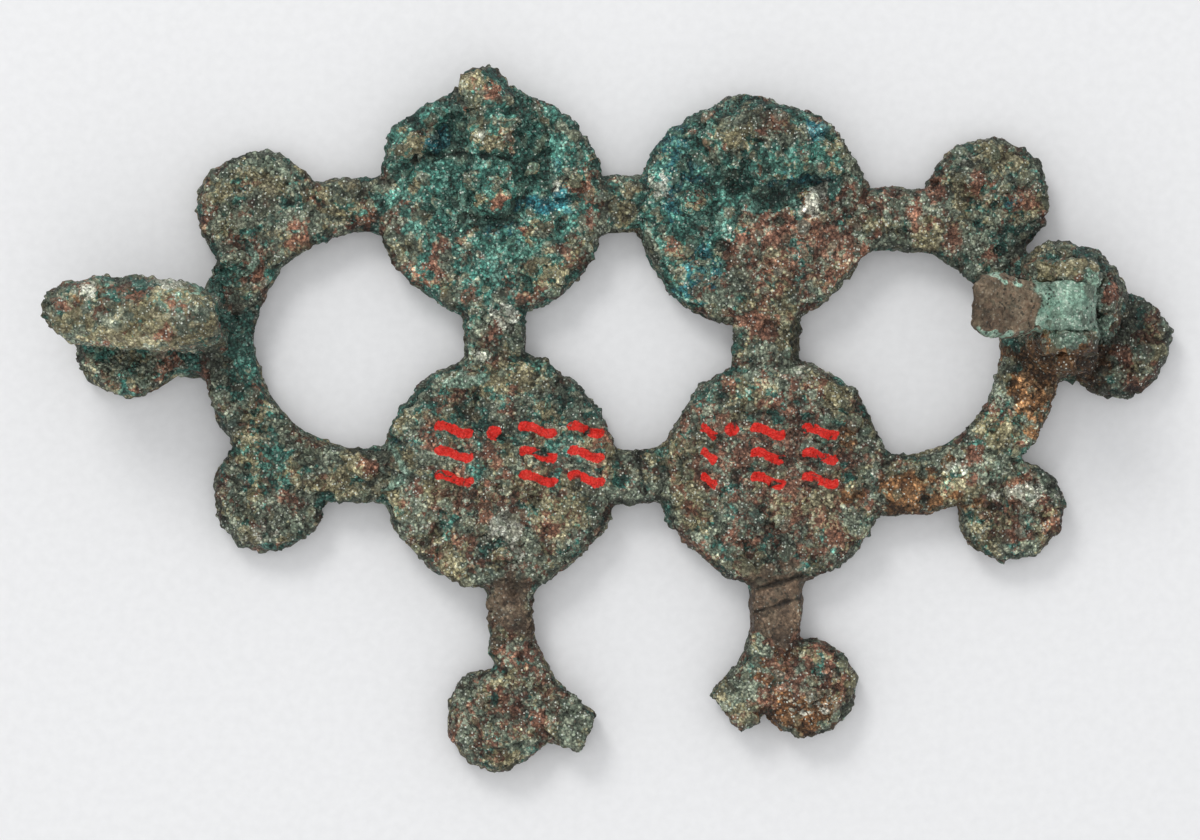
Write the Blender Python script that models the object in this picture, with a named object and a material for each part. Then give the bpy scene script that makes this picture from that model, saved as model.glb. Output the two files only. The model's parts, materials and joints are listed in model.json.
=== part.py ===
"""Openwork plate brooch of cast copper alloy with enamelled cells, broken, corroded and lying on its front.

Five equal rings once made a cross. Three of them stay in a row, with a big disc at each corner of the middle
ring and small lobes on the outer rings. The ring above is lost but for a stub, and the ring below but for two arms.
The back faces up. It carries the catch at the left and the hinge at the right, with the root of the broken pin.
Metres, +Z up. The origin is under the middle of the whole brooch, on the surface that it lies on.
"""

import math

import bmesh
import bpy
from mathutils import Matrix, Vector, noise

# Layout of the openwork, all lengths in metres
RING_PITCH = 0.0107
RING_BORE_RADIUS = 0.00427
RING_WIDTH = 0.0021
DISC_RADIUS = 0.0047
LOBE_RADIUS = 0.00222
CORNER_LOBE_REACH = 0.0072
END_LOBE_REACH = 0.0092
NECK_WIDTH = 0.0022

# Thickness of the casting, whose discs and lobes stand on the surface
DISC_THICKNESS = 0.0019
LOBE_THICKNESS = 0.0017
RING_THICKNESS = 0.0014
RING_SETBACK = 0.00025
LEVEL_STEP = 0.00006
EDGE_ROUNDING = 0.00042

# Cells on the front and the enamel in them
CELL_DEPTH = 0.00055
FIELD_OUTER_RADIUS = 0.00375
FIELD_INNER_RADIUS = 0.0014
LOBE_CELL_RADIUS = 0.00145
ENAMEL_GAP = 0.00005
ENAMEL_SUNK = 0.00012

# Catch, a standing wall whose top curls over to hold the pin
CATCH_LENGTH = 0.0072
CATCH_TOP = 0.0076
CATCH_SLOPE = 0.0013
CATCH_WALL = 0.00095
CATCH_CHANNEL = 0.0009
CATCH_LIP = 0.0009
CATCH_FOOT_DROP = 0.0005
CATCH_SKEW = 0.00035
CATCH_UNDERCUT = 0.16
CATCH_PAST_LOBE = 0.43
CATCH_END_ROUNDING = 0.62
CATCH_OVER_NECK = 0.0001

# Hinge, two lugs with an iron axle and the pin's root between them
LUG_WIDTH = 0.0023
LUG_THICKNESS = 0.0008
LUG_FOOT_WIDTH = 0.0032
LUG_SPACING = 0.0029
HINGE_INBOARD = 1.1
HINGE_ABOVE = 0.49
AXLE_RADIUS = 0.00045
AXLE_HEIGHT = 0.0055
AXLE_OVERHANG = 0.0006
HINGE_GAP = 0.00008
PIN_HEAD_RADIUS = 0.00118
PIN_ROOT_LENGTH = 0.0038
PIN_ROOT_DEPTH = 0.0016
PIN_ROOT_RISE = 0.0021
PIN_ROOT_SPREAD = 1.5
PIN_END_BLUNT = 0.42
PIN_SQUARENESS = 0.55

# How much the corroded casting wanders from the true shapes, and over what length
WANDER = 0.00011
WANDER_LENGTH = 0.0011

CUT_PAST = 0.001
FLAT_WITHIN = 3.0
HEAP_FULLNESS = 2.5
HEAP_ROUGHNESS = 0.16
CRUST_SUNK = 0.3
TURN = math.tau

# Each disc's own shift from its corner, its size against DISC_RADIUS, and its worn flats as (degrees, share cut off)
DISCS = {
    "upper_left": ((-1, 1), (-0.00031, 0.00035), 0.99, ((38, 0.03), (62, 0.02), (160, 0.035), (228, 0.02))),
    "upper_right": ((1, 1), (-0.00052, -0.00005), 0.995, ((48, 0.055), (75, 0.03), (118, 0.035), (212, 0.03))),
    "lower_left": ((-1, -1), (0.00009, 0.0002), 1.02, ((30, 0.045), (50, 0.035), (318, 0.02))),
    "lower_right": ((1, -1), (0.00033, 0.00017), 0.985, ((128, 0.04), (150, 0.045), (25, 0.02), (225, 0.035))),
}

# Each ring's place in pitches from the middle ring, its own shift, the arc in degrees that is left of it, and
# its bore and width against the usual ones
RINGS = {
    "middle": ((0, 0), (0.0, 0.00012), (0, 360), 1.02, 1.08),
    "left": ((-1, 0), (-0.0001, 0.00012), (0, 360), 1.01, 1.1),
    "right": ((1, 0), (-0.00006, -0.00036), (0, 360), 0.97, 1.18),
    "above": ((0, 1), (-0.0006, 0.00015), (186, 212), 1.0, 1.0),
    "below_left": ((0, -1), (0.0006, 0.0), (146, 245), 1.07, 0.9),
    "below_right": ((0, -1), (0.0006, 0.0), (-53, 28), 0.98, 1.0),
}

# Upright bars that thicken the casting between an upper and a lower disc, as (place along the row, width)
BARS = {"left": (-0.00575, 0.0021), "right": (0.00572, 0.0021)}
BAR_LENGTH = 0.0046

# Each lobe's ring, its direction in degrees, its reach against the usual one, and its size against LOBE_RADIUS
LOBES = {
    "left_upper": ("left", 129, 0.93, 1.1),
    "left_lower": ("left", 238.5, 1.01, 1.03),
    "left_end": ("left", 180, 1.02, 1.04),
    "right_upper": ("right", 59, 0.985, 1.13),
    "right_lower": ("right", -54, 1.09, 0.94),
    "right_end": ("right", 2, 0.965, 0.97),
    "below_left": ("below_left", 216.3, 1.03, 0.945),
    "below_right": ("below_right", -26, 1.0, 0.9),
}
END_LOBES = ("left_end", "right_end")
LOST_ENAMEL = ("below_right",)

# Crusts on the back of the upper discs, as disc: (place, radii and rise over the back, in disc radii, detail)
CRUSTS = {
    "ridge_top": ("upper_left", (-0.05, 0.88), (0.20, 0.27), 0.14, 2),
    "ridge_crown": ("upper_left", (-0.01, 0.66), (0.30, 0.25), 0.19, 2),
    "ridge_shield": ("upper_left", (0.04, 0.33), (0.37, 0.37), 0.13, 2),
    "ridge_brow": ("upper_left", (0.05, 0.45), (0.29, 0.14), 0.22, 2),
    "ridge_chin": ("upper_left", (0.03, 0.13), (0.27, 0.19), 0.19, 2),
    "rim_crust": ("upper_left", (-0.66, 0.50), (0.28, 0.17), 0.11, 2),
    "bank": ("upper_right", (0.12, 0.62), (0.62, 0.30), 0.17, 2),
    "bank_rim": ("upper_right", (0.44, 0.50), (0.32, 0.22), 0.12, 2),
    "bank_end": ("upper_right", (-0.15, 0.36), (0.14, 0.11), 0.15, 2),
    "mound": ("upper_right", (-0.49, 0.09), (0.19, 0.17), 0.13, 2),
}

# Smaller crusts on the lobes and rings, as (ring, degrees, reach in bore radii, radius in ring widths, rise in radii)
KNOBS = {
    "upper_lobe_knob": ("right", 65.5, 1.72, 0.40, 0.9),
    "left_ring_knob": ("left", 148, 1.42, 0.36, 0.75),
    "lower_blister": ("left", 270, 1.19, 0.45, 0.4),
}

# Heaps of corrosion about the hinge, as (along the pin, across it, height, radii) in lug spacings from the axle
HEAPS = {
    "upper_heap": ((0.02, 0.52), 0.30, (0.56, 0.40, 0.48)),
    "upper_heap_side": ((0.34, 0.42), 0.24, (0.38, 0.40, 0.40)),
    "outer_heap": ((0.60, 0.06), 0.20, (0.30, 0.44, 0.42)),
    "rust_heap": ((0.06, -0.66), 0.14, (0.50, 0.24, 0.36)),
}

METALS = {
    "copper_alloy": ((0.115, 0.125, 0.105), 0.75, 0.15),
    "pin_metal": ((0.16, 0.13, 0.10), 0.7, 0.2),
    "rusted_iron": ((0.23, 0.10, 0.04), 0.9, 0.0),
    "enamel_blue": ((0.05, 0.12, 0.22), 0.35, 0.0),
    "enamel_red": ((0.35, 0.07, 0.03), 0.35, 0.0),
}


def clear_scene():
    for obj in list(bpy.data.objects):
        bpy.data.objects.remove(obj, do_unlink=True)


def finish_of(name):
    colour, roughness, metallic = METALS[name]
    finish = bpy.data.materials.get(name) or bpy.data.materials.new(name)
    finish.use_nodes = True
    shader = finish.node_tree.nodes["Principled BSDF"]
    shader.inputs["Base Color"].default_value = (*colour, 1)
    shader.inputs["Roughness"].default_value = roughness
    shader.inputs["Metallic"].default_value = metallic
    return finish


def place(bm, name, finish, at=(0, 0, 0), holder=None, helper=None):
    """Makes an object of a bmesh. A helper goes in that collection, out of the render, for a Boolean to use."""
    bmesh.ops.recalc_face_normals(bm, faces=bm.faces)
    mesh = bpy.data.meshes.new(name)
    bm.to_mesh(mesh)
    bm.free()
    mesh.shade_smooth()
    mesh.set_sharp_from_angle(angle=math.radians(40))
    mesh.materials.append(finish_of(finish))
    obj = bpy.data.objects.new(name, mesh)
    obj.location = at
    obj.parent = holder
    (helper or bpy.context.scene.collection).objects.link(obj)
    if helper:
        obj.hide_render = True
        obj.display_type = "WIRE"
    return obj


def close_profile(bm, points, closed):
    verts = [bm.verts.new(p) for p in points]
    pairs = list(zip(verts, verts[1:]))
    if closed:
        pairs.append((verts[-1], verts[0]))
    return verts + [bm.edges.new(pair) for pair in pairs]


def turned(profile, steps, closed=False):
    """A solid turned about +Z from (radius, height) points. An open profile starts and ends on the axis."""
    bm = bmesh.new()
    geometry = close_profile(bm, [(r, 0, z) for r, z in profile], closed)
    bmesh.ops.spin(
        bm, geom=geometry, cent=(0, 0, 0), axis=(0, 0, 1), angle=TURN, steps=steps, use_merge=True
    )
    bmesh.ops.remove_doubles(bm, verts=bm.verts, dist=1e-7)
    return bm


def straight(section, along, steps):
    """A prism of a closed section, drawn out along a vector in equal steps and capped."""
    bm = bmesh.new()
    geometry = close_profile(bm, section, True)
    bmesh.ops.spin(
        bm, geom=geometry, cent=(0, 0, 0), axis=(0, 0, 1), dvec=Vector(along) / steps, angle=0, steps=steps
    )
    cap_ends(bm)
    return bm


def cap_ends(bm):
    open_edges = [e for e in bm.edges if e.is_boundary]
    if open_edges:
        bmesh.ops.holes_fill(bm, edges=open_edges)


def wander(bm, seed, lowest=None, amount=WANDER):
    """Shifts the points by a smooth noise. Those at or under the lowest height keep it, so that they stay flat."""
    offset = Vector((seed * 3.7, seed * 1.9, seed * 5.3))
    for v in bm.verts:
        push = noise.noise_vector(v.co / WANDER_LENGTH + offset) * amount
        if lowest is not None and v.co.z <= lowest:
            push.z = 0
        v.co += push


def polar(reach, degrees):
    return Vector((reach * math.cos(math.radians(degrees)), reach * math.sin(math.radians(degrees)), 0))


def round_plate(radius, thickness, steps):
    """A round plate with an eased front edge and a rounder back edge."""
    eased = EDGE_ROUNDING / 4
    profile = (
        (0, 0),
        (radius - eased, 0),
        (radius, eased),
        (radius, thickness - EDGE_ROUNDING),
        (radius - EDGE_ROUNDING, thickness),
        (0, thickness),
    )
    return turned(profile, steps)


def wear_flats(bm, radius, flats):
    """Cuts the outline back to straight worn edges, each at its own angle and depth."""
    for v in bm.verts:
        around = math.atan2(v.co.y, v.co.x)
        for degrees, share in flats:
            across = math.cos(around - math.radians(degrees))
            limit = (1 - share) * radius / across if across > 0.1 else radius * 2
            reach = math.hypot(v.co.x, v.co.y)
            if reach > limit:
                v.co.x *= limit / reach
                v.co.y *= limit / reach


def disc_centre(name):
    corner, shift, _, _ = DISCS[name]
    return Vector((corner[0] * RING_PITCH / 2 + shift[0], corner[1] * RING_PITCH / 2 + shift[1], 0))


def ring_centre(name):
    cell, shift, _, _, _ = RINGS[name]
    return Vector((cell[0] * RING_PITCH + shift[0], cell[1] * RING_PITCH + shift[1], 0))


def lobe_reach(name):
    return LOBES[name][2] * (END_LOBE_REACH if name in END_LOBES else CORNER_LOBE_REACH)


def lobe_centre(name):
    return ring_centre(LOBES[name][0]) + polar(lobe_reach(name), LOBES[name][1])


def make_disc(name, seed, holder, members):
    radius = DISC_RADIUS * DISCS[name][2]
    bm = round_plate(radius, DISC_THICKNESS, 32)
    wear_flats(bm, radius, DISCS[name][3])
    wander(bm, seed, lowest=0)
    return place(bm, f"disc_{name}", "copper_alloy", disc_centre(name), holder, members)


def make_lobe(name, seed, holder, members):
    radius = LOBE_RADIUS * LOBES[name][3]
    bm = round_plate(radius, LOBE_THICKNESS, 18)
    wander(bm, seed, lowest=0)
    place(bm, f"lobe_{name}", "copper_alloy", lobe_centre(name), holder, members)


def make_ring(name, level, seed, holder, members):
    """One ring, or the arc left of it, set back from the front so that only discs and lobes touch the surface."""
    _, _, angles, bore, width = RINGS[name]
    start, end = (math.radians(a) for a in angles)
    inner = RING_BORE_RADIUS * bore
    outer = inner + RING_WIDTH * width
    low = RING_SETBACK + level * LEVEL_STEP
    high = low + RING_THICKNESS
    eased = EDGE_ROUNDING * 0.7
    section = (
        (inner, low),
        (outer, low),
        (outer, high - eased),
        (outer - eased, high),
        (inner + eased, high),
        (inner, high - eased),
    )
    bm = bmesh.new()
    geometry = close_profile(
        bm, [(r * math.cos(start), r * math.sin(start), z) for r, z in section], True
    )
    whole = abs(end - start) > TURN * 0.99
    steps = max(4, round(36 * (end - start) / TURN))
    bmesh.ops.spin(
        bm, geom=geometry, cent=(0, 0, 0), axis=(0, 0, 1), angle=end - start, steps=steps, use_merge=whole
    )
    cap_ends(bm)
    wander(bm, seed, lowest=low)
    place(bm, f"ring_{name}", "copper_alloy", ring_centre(name), holder, members)


def make_bar(name, seed, holder, members):
    """An upright bar between two discs, thinner than they are."""
    along, width = BARS[name]
    low = RING_SETBACK + 5 * LEVEL_STEP
    high = DISC_THICKNESS - 2 * LEVEL_STEP
    half, end = width / 2, BAR_LENGTH / 2
    section = ((-half, -end, low), (half, -end, low), (half * 0.75, -end, high), (-half * 0.75, -end, high))
    bm = straight(section, (0, 2 * end, 0), 4)
    wander(bm, seed, lowest=low)
    place(bm, f"bar_{name}", "copper_alloy", (along, 0, 0), holder, members)


def make_neck(name, seed, holder, members):
    """The short bar that joins a lobe to its ring, flared at the ring."""
    ring, degrees, _, size = LOBES[name]
    start = RING_BORE_RADIUS + RING_WIDTH / 2
    end = max(lobe_reach(name), start + LOBE_RADIUS)
    low = RING_SETBACK + 4 * LEVEL_STEP
    high = LOBE_THICKNESS - 2 * LEVEL_STEP
    half = NECK_WIDTH * size / (1.6 if name in END_LOBES else 2)
    section = ((start, -half, low), (start, half, low), (start, half * 0.8, high), (start, -half * 0.8, high))
    bm = straight(section, (end - start, 0, 0), 4)
    for v in bm.verts:
        along = (v.co.x - start) / (end - start)
        v.co.y *= 1.35 - 0.9 * along + 0.55 * along * along
    wander(bm, seed, lowest=low, amount=WANDER / 2)
    bm.transform(Matrix.Rotation(math.radians(degrees), 4, "Z"))
    place(bm, f"neck_{name}", "copper_alloy", ring_centre(ring), holder, members)


def lump(radii, depth, detail, seed):
    """A rounded heap, rough in proportion to its size. Its underside reaches no lower than the given depth."""
    bm = bmesh.new()
    bmesh.ops.create_icosphere(bm, subdivisions=detail, radius=1)
    for v in bm.verts:
        v.co /= sum(abs(c) ** HEAP_FULLNESS for c in v.co) ** (1 / HEAP_FULLNESS)
        v.co *= 1 + HEAP_ROUGHNESS * noise.noise(v.co * 1.6 + Vector((seed * 2.3, seed, 0)))
        v.co.z *= radii[2] if v.co.z > 0 else depth
    bmesh.ops.scale(bm, verts=bm.verts, vec=(radii[0], radii[1], 1))
    return bm


def make_crust(name, seed, holder, members):
    disc, spot, spread, rise, detail = CRUSTS[name]
    scale = DISC_RADIUS * DISCS[disc][2]
    sunk = DISC_THICKNESS * CRUST_SUNK
    bm = lump((spread[0] * scale, spread[1] * scale, rise * scale + sunk), sunk, detail, seed)
    at = disc_centre(disc) + Vector((spot[0] * scale, spot[1] * scale, DISC_THICKNESS - sunk))
    place(bm, f"crust_{name}", "copper_alloy", at, holder, members)


def make_knob(name, seed, holder, members):
    ring, degrees, reach, size, rise = KNOBS[name]
    radius = size * RING_WIDTH
    sunk = RING_THICKNESS * CRUST_SUNK
    bm = lump((radius, radius * 0.85, radius * rise + sunk), sunk, 1, seed)
    at = ring_centre(ring) + polar(reach * RING_BORE_RADIUS, degrees)
    at.z = RING_SETBACK + RING_THICKNESS - sunk
    place(bm, f"knob_{name}", "copper_alloy", at, holder, members)


def arc(centre_y, centre_z, radius, start, end, steps):
    """Points of an arc in the plane across the pin, from start to end in degrees."""
    angles = [math.radians(start + (end - start) * i / steps) for i in range(steps + 1)]
    return [(0, centre_y + radius * math.cos(a), centre_z + radius * math.sin(a)) for a in angles]


def make_catch(seed, holder, members):
    """The catch: a wall along the pin's line, its top curled over the channel to a hanging lip."""
    foot = LOBE_THICKNESS - CATCH_FOOT_DROP
    inner = CATCH_CHANNEL / 2
    middle = CATCH_WALL + inner
    crown = CATCH_TOP - foot - CATCH_WALL - inner
    section = [(0, 0, 0)]
    section += arc(middle, crown, CATCH_WALL + inner, 180, 0, 8)
    section += [(0, middle + inner + CATCH_WALL, crown - CATCH_LIP), (0, middle + inner, crown - CATCH_LIP)]
    section += arc(middle, crown, inner, 0, 180, 5)
    section += [(0, CATCH_WALL, 0)]
    bm = straight(section, (CATCH_LENGTH, 0, 0), 9)
    across = 2 * CATCH_WALL + CATCH_CHANNEL
    for v in bm.verts:
        along = v.co.x / CATCH_LENGTH
        lift = v.co.z / (CATCH_TOP - foot)
        rounding = (2 * along - 1) ** 4
        v.co.z += CATCH_SLOPE * (along - 0.6) * lift - 0.5 * CATCH_WALL * rounding * lift**2
        v.co.y += (across / 2 - v.co.y) * CATCH_END_ROUNDING * rounding * lift + CATCH_SKEW * (0.5 - along)
        v.co.x += CATCH_LENGTH * CATCH_UNDERCUT * (1 - lift) * (1 - along) ** 2
    wander(bm, seed, lowest=0)
    at = lobe_centre("left_end") + Vector(
        (-CATCH_LENGTH * CATCH_PAST_LOBE, NECK_WIDTH / 2 - across / 2 + CATCH_OVER_NECK - CATCH_SKEW / 2, foot)
    )
    place(bm, "catch", "copper_alloy", at, holder, members)


def hinge_centre():
    """The axle's middle, over the inner edge of the right end lobe."""
    lobe = lobe_centre("right_end")
    return Vector((lobe.x - LOBE_RADIUS * HINGE_INBOARD, lobe.y + LUG_SPACING * HINGE_ABOVE, AXLE_HEIGHT))


def make_lug(name, side, seed, holder, members):
    """A standing plate with a round top about the axle, wider at its foot."""
    foot = LOBE_THICKNESS / 2 - AXLE_HEIGHT
    half, wide = LUG_WIDTH / 2, LUG_FOOT_WIDTH / 2
    tips = [math.radians(180 * i / 8) for i in range(9)]
    section = [(wide, 0, foot), (half * 1.02, 0, foot * 0.45)]
    section += [(half * math.cos(a), 0, half * math.sin(a)) for a in tips]
    section += [(-half * 1.02, 0, foot * 0.45), (-wide, 0, foot)]
    bm = straight(section, (0, LUG_THICKNESS, 0), 2)
    wander(bm, seed, amount=WANDER * 0.7)
    at = hinge_centre() + Vector((0, side * LUG_SPACING / 2 - LUG_THICKNESS / 2, 0))
    place(bm, f"lug_{name}", "copper_alloy", at, holder, members)


def make_heap(name, seed, holder, members):
    spot, height, radii = HEAPS[name]
    centre = hinge_centre()
    reach = AXLE_HEIGHT - LOBE_THICKNESS
    depth = height * reach + LOBE_THICKNESS * 0.4
    bm = lump((radii[0] * LUG_SPACING, radii[1] * LUG_SPACING, radii[2] * reach), depth, 2, seed)
    at = Vector(
        (centre.x + spot[0] * LUG_SPACING, centre.y + spot[1] * LUG_SPACING, LOBE_THICKNESS + height * reach)
    )
    place(bm, f"heap_{name}", "copper_alloy", at, holder, members)


def rod(radius, low, high, steps):
    """A round rod along +Y between two places."""
    bm = turned(((0, low), (radius, low), (radius, high), (0, high)), steps)
    bm.transform(Matrix.Rotation(-math.pi / 2, 4, "X"))
    return bm


def make_hinge_parts(holder, cutters):
    """The pin's root between the lugs and the rusted axle through them, each with its clearance."""
    centre = hinge_centre()
    inside = LUG_SPACING / 2 - LUG_THICKNESS / 2 - HINGE_GAP - WANDER
    outside = LUG_SPACING / 2 + LUG_THICKNESS / 2 + AXLE_OVERHANG
    bore = AXLE_RADIUS + HINGE_GAP
    place(
        rod(bore, -outside - HINGE_GAP, outside + HINGE_GAP, 16), "bore", "rusted_iron", centre, holder, cutters
    )
    place(
        rod(PIN_HEAD_RADIUS + HINGE_GAP, -inside - HINGE_GAP, inside + HINGE_GAP, 20),
        "head_room", "rusted_iron", centre, holder, cutters,
    )
    place(rod(AXLE_RADIUS, -outside, outside, 14), "hinge_axle", "rusted_iron", centre, holder)
    room = HINGE_GAP + WANDER
    place(pin_shank(inside, room), "shank_room", "rusted_iron", centre, holder, cutters)
    loose = bpy.data.collections.new("pin_tools")
    bpy.context.scene.collection.children.link(loose)
    place(rod(PIN_HEAD_RADIUS, -inside, inside, 20), "pin_head", "pin_metal", centre, holder, loose)
    pin = place(pin_shank(inside, 0), "pin_root", "pin_metal", centre, holder)
    join = pin.modifiers.new("head", "BOOLEAN")
    join.operation = "UNION"
    join.solver = "EXACT"
    join.object = bpy.data.objects["pin_head"]
    cut = pin.modifiers.new("bore", "BOOLEAN")
    cut.operation = "DIFFERENCE"
    cut.solver = "EXACT"
    cut.object = bpy.data.objects["bore"]


def squared(wave):
    """A sine or cosine made fuller, so that a circle of it turns into a rounded bar."""
    return math.copysign(abs(wave) ** PIN_SQUARENESS, wave)


def pin_shank(inside, room):
    """The pin's root: a flat bar that leaves the head towards the catch, rising to a blunt broken end."""
    deep = PIN_ROOT_DEPTH / 2 + room
    wide = inside * 0.96 + room
    around = [TURN * (i + 0.5) / 12 for i in range(12)]
    section = [(0, wide * squared(math.cos(a)), deep * squared(math.sin(a))) for a in around]
    bm = straight(section, (-PIN_ROOT_LENGTH - room, 0, 0), 9)
    clear = PIN_HEAD_RADIUS / PIN_ROOT_LENGTH
    for v in bm.verts:
        along = -v.co.x / PIN_ROOT_LENGTH
        out = max(0, along - clear) / (1 - clear)
        blunt = 1 - PIN_END_BLUNT * out**5
        v.co.y *= (1 + (PIN_ROOT_SPREAD - 1) * math.sin(out * math.pi * 0.6)) * blunt
        v.co.z = v.co.z * blunt + PIN_ROOT_RISE * along * along
    if not room:
        wander(bm, 3, amount=WANDER * 0.6)
    return bm


def make_cells(holder, cutters):
    """The sunk cells of the front and, a hair smaller, the enamel that fills them."""
    floor = CELL_DEPTH - ENAMEL_GAP
    for name in DISCS:
        at = disc_centre(name)
        cell = ((FIELD_INNER_RADIUS, FIELD_OUTER_RADIUS), (-CUT_PAST, CELL_DEPTH))
        place(turned(box_ring(*cell), 20, True), f"cell_{name}", "enamel_blue", at, holder, cutters)
        inlay = (
            (FIELD_INNER_RADIUS + ENAMEL_GAP, FIELD_OUTER_RADIUS - ENAMEL_GAP),
            (ENAMEL_SUNK, floor),
        )
        place(turned(box_ring(*inlay), 20, True), f"enamel_disc_{name}", "enamel_blue", at, holder)
    for name in LOBES:
        at = lobe_centre(name)
        radius = LOBE_CELL_RADIUS * LOBES[name][3]
        place(turned(cup(radius, -CUT_PAST, CELL_DEPTH), 12), f"cell_{name}", "enamel_red", at, holder, cutters)
        if name not in LOST_ENAMEL:
            inlay = cup(radius - ENAMEL_GAP, ENAMEL_SUNK, floor)
            place(turned(inlay, 12), f"enamel_lobe_{name}", "enamel_red", at, holder)


def box_ring(radii, heights):
    (near, far), (low, high) = radii, heights
    return ((near, low), (far, low), (far, high), (near, high))


def cup(radius, low, high):
    return ((0, low), (radius, low), (radius, high), (0, high))


def boolean(body, name, operation, collection):
    step = body.modifiers.new(name, "BOOLEAN")
    step.operation = operation
    step.solver = "EXACT"
    step.operand_type = "COLLECTION"
    step.collection = collection


def helpers(name):
    collection = bpy.data.collections.new(name)
    bpy.context.scene.collection.children.link(collection)
    return collection


def centre_over_origin(holder):
    """Moves everything so that the origin is under the middle of the finished brooch."""
    bpy.context.view_layer.update()
    graph = bpy.context.evaluated_depsgraph_get()
    low, high = Vector((1, 1, 1)), Vector((-1, -1, -1))
    for obj in holder.children:
        if obj.hide_render:
            continue
        done = obj.evaluated_get(graph)
        for v in done.to_mesh().vertices:
            at = done.matrix_world @ v.co
            low = Vector(map(min, low, at))
            high = Vector(map(max, high, at))
        done.to_mesh_clear()
    middle = (low + high) / 2
    holder.location -= Vector((middle.x, middle.y, low.z))


def build():
    clear_scene()
    holder = bpy.data.objects.new("brooch", None)
    bpy.context.scene.collection.objects.link(holder)
    members, cutters = helpers("members"), helpers("cutters")
    discs = [make_disc(name, i + 1, holder, members) for i, name in enumerate(DISCS)]
    body = discs[0]
    members.objects.unlink(body)
    bpy.context.scene.collection.objects.link(body)
    body.hide_render, body.display_type = False, "TEXTURED"
    body.name = "brooch_body"
    for i, name in enumerate(RINGS):
        make_ring(name, i % 3, 10 + i, holder, members)
    for i, name in enumerate(BARS):
        make_bar(name, 17 + i, holder, members)
    for i, name in enumerate(LOBES):
        make_lobe(name, 20 + i, holder, members)
        make_neck(name, 30 + i, holder, members)
    for i, name in enumerate(CRUSTS):
        make_crust(name, 40 + i, holder, members)
    for i, name in enumerate(KNOBS):
        make_knob(name, 50 + i, holder, members)
    for i, name in enumerate(HEAPS):
        make_heap(name, 60 + i, holder, members)
    make_catch(70, holder, members)
    make_lug("upper", 1, 71, holder, members)
    make_lug("lower", -1, 72, holder, members)
    make_hinge_parts(holder, cutters)
    make_cells(holder, cutters)
    boolean(body, "join the casting", "UNION", members)
    boolean(body, "cut cells and bores", "DIFFERENCE", cutters)
    thin = body.modifiers.new("merge flat faces", "DECIMATE")
    thin.decimate_type = "DISSOLVE"
    thin.angle_limit = math.radians(FLAT_WITHIN)
    centre_over_origin(holder)


build()
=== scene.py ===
# %% [markdown]
# # A broken openwork brooch, seen from its back
# The real object is a cast plate of copper alloy, long buried. It lies on its front, so the camera sees the
# rough back with the catch at the left and the hinge at the right. The solids already have every main form.
# This script gives them their skin: a granular crust, patches of coloured corrosion and marks in red paint.
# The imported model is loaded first, because every piece takes its place and size from it.

# %% Load the frame
import json
import math

import bmesh
import bpy
import numpy as np
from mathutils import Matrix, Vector, kdtree, noise

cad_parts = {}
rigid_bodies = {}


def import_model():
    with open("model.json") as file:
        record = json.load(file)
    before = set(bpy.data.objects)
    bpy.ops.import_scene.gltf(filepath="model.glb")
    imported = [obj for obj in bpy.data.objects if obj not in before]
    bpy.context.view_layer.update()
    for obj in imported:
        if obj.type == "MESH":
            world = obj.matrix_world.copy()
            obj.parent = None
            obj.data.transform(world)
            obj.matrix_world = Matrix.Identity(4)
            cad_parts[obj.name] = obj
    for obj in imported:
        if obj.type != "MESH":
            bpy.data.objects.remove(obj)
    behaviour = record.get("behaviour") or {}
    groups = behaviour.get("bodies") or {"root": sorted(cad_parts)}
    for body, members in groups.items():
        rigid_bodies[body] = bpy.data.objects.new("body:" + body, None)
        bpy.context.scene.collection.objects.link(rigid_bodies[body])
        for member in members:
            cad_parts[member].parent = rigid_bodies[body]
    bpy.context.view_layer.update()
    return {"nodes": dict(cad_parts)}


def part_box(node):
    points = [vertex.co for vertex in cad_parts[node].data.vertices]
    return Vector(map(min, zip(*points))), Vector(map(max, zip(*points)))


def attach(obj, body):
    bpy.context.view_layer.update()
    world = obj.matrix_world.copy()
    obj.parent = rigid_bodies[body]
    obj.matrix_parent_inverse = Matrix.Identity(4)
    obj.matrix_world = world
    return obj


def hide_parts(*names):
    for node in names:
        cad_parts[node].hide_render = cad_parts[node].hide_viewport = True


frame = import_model()
MM = 0.001
print("solids:", ", ".join(sorted(frame["nodes"])))

# %% [markdown]
# ## Anchors
# Every mark on the brooch is told from the middle of the disc or lobe that it is on, in millimetres. The
# inlays on the front share those middles, so their boxes give the anchors, and nothing here repeats the
# solids' sizes. The lobe that lost its enamel has no inlay, so its anchor is told from the disc above it.

# %% Find the middles of discs and lobes


def middle(node):
    low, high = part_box(node)
    return (low.xy + high.xy) / 2 / MM


DISC_NAMES = ("upper_left", "upper_right", "lower_left", "lower_right")
LOBE_NAMES = ("left_upper", "left_lower", "left_end", "right_upper", "right_lower", "right_end", "below_left")
ANCHORS = {name: middle(f"enamel_disc_{name}") for name in DISC_NAMES}
ANCHORS.update({name: middle(f"enamel_lobe_{name}") for name in LOBE_NAMES})
ANCHORS["below_right"] = ANCHORS["lower_right"] + Vector((1.2, -8.7))
ANCHORS["hinge"] = middle("hinge_axle")
ANCHORS["catch"] = ANCHORS["left_end"] + Vector((0.4, 1.4))
BACK = 1.9
print({name: tuple(round(c, 2) for c in at) for name, at in ANCHORS.items()})

# %% [markdown]
# ## Camera, light and floor
# The photograph looks straight down from about a hand's breadth, close enough that the tall catch and pin
# are a little larger than the plate. White card all round gives most of the light, and the world's colour
# stands for it. A wide soft light from the top of the picture adds a lit upper side and a darker lower one
# to each lump.

# %% Camera
VIEW_WIDTH = 48.0
CAMERA_HEIGHT = 210.0
SENSOR = 36.0
VIEW_MIDDLE = Vector((-0.47, -0.08))

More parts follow.
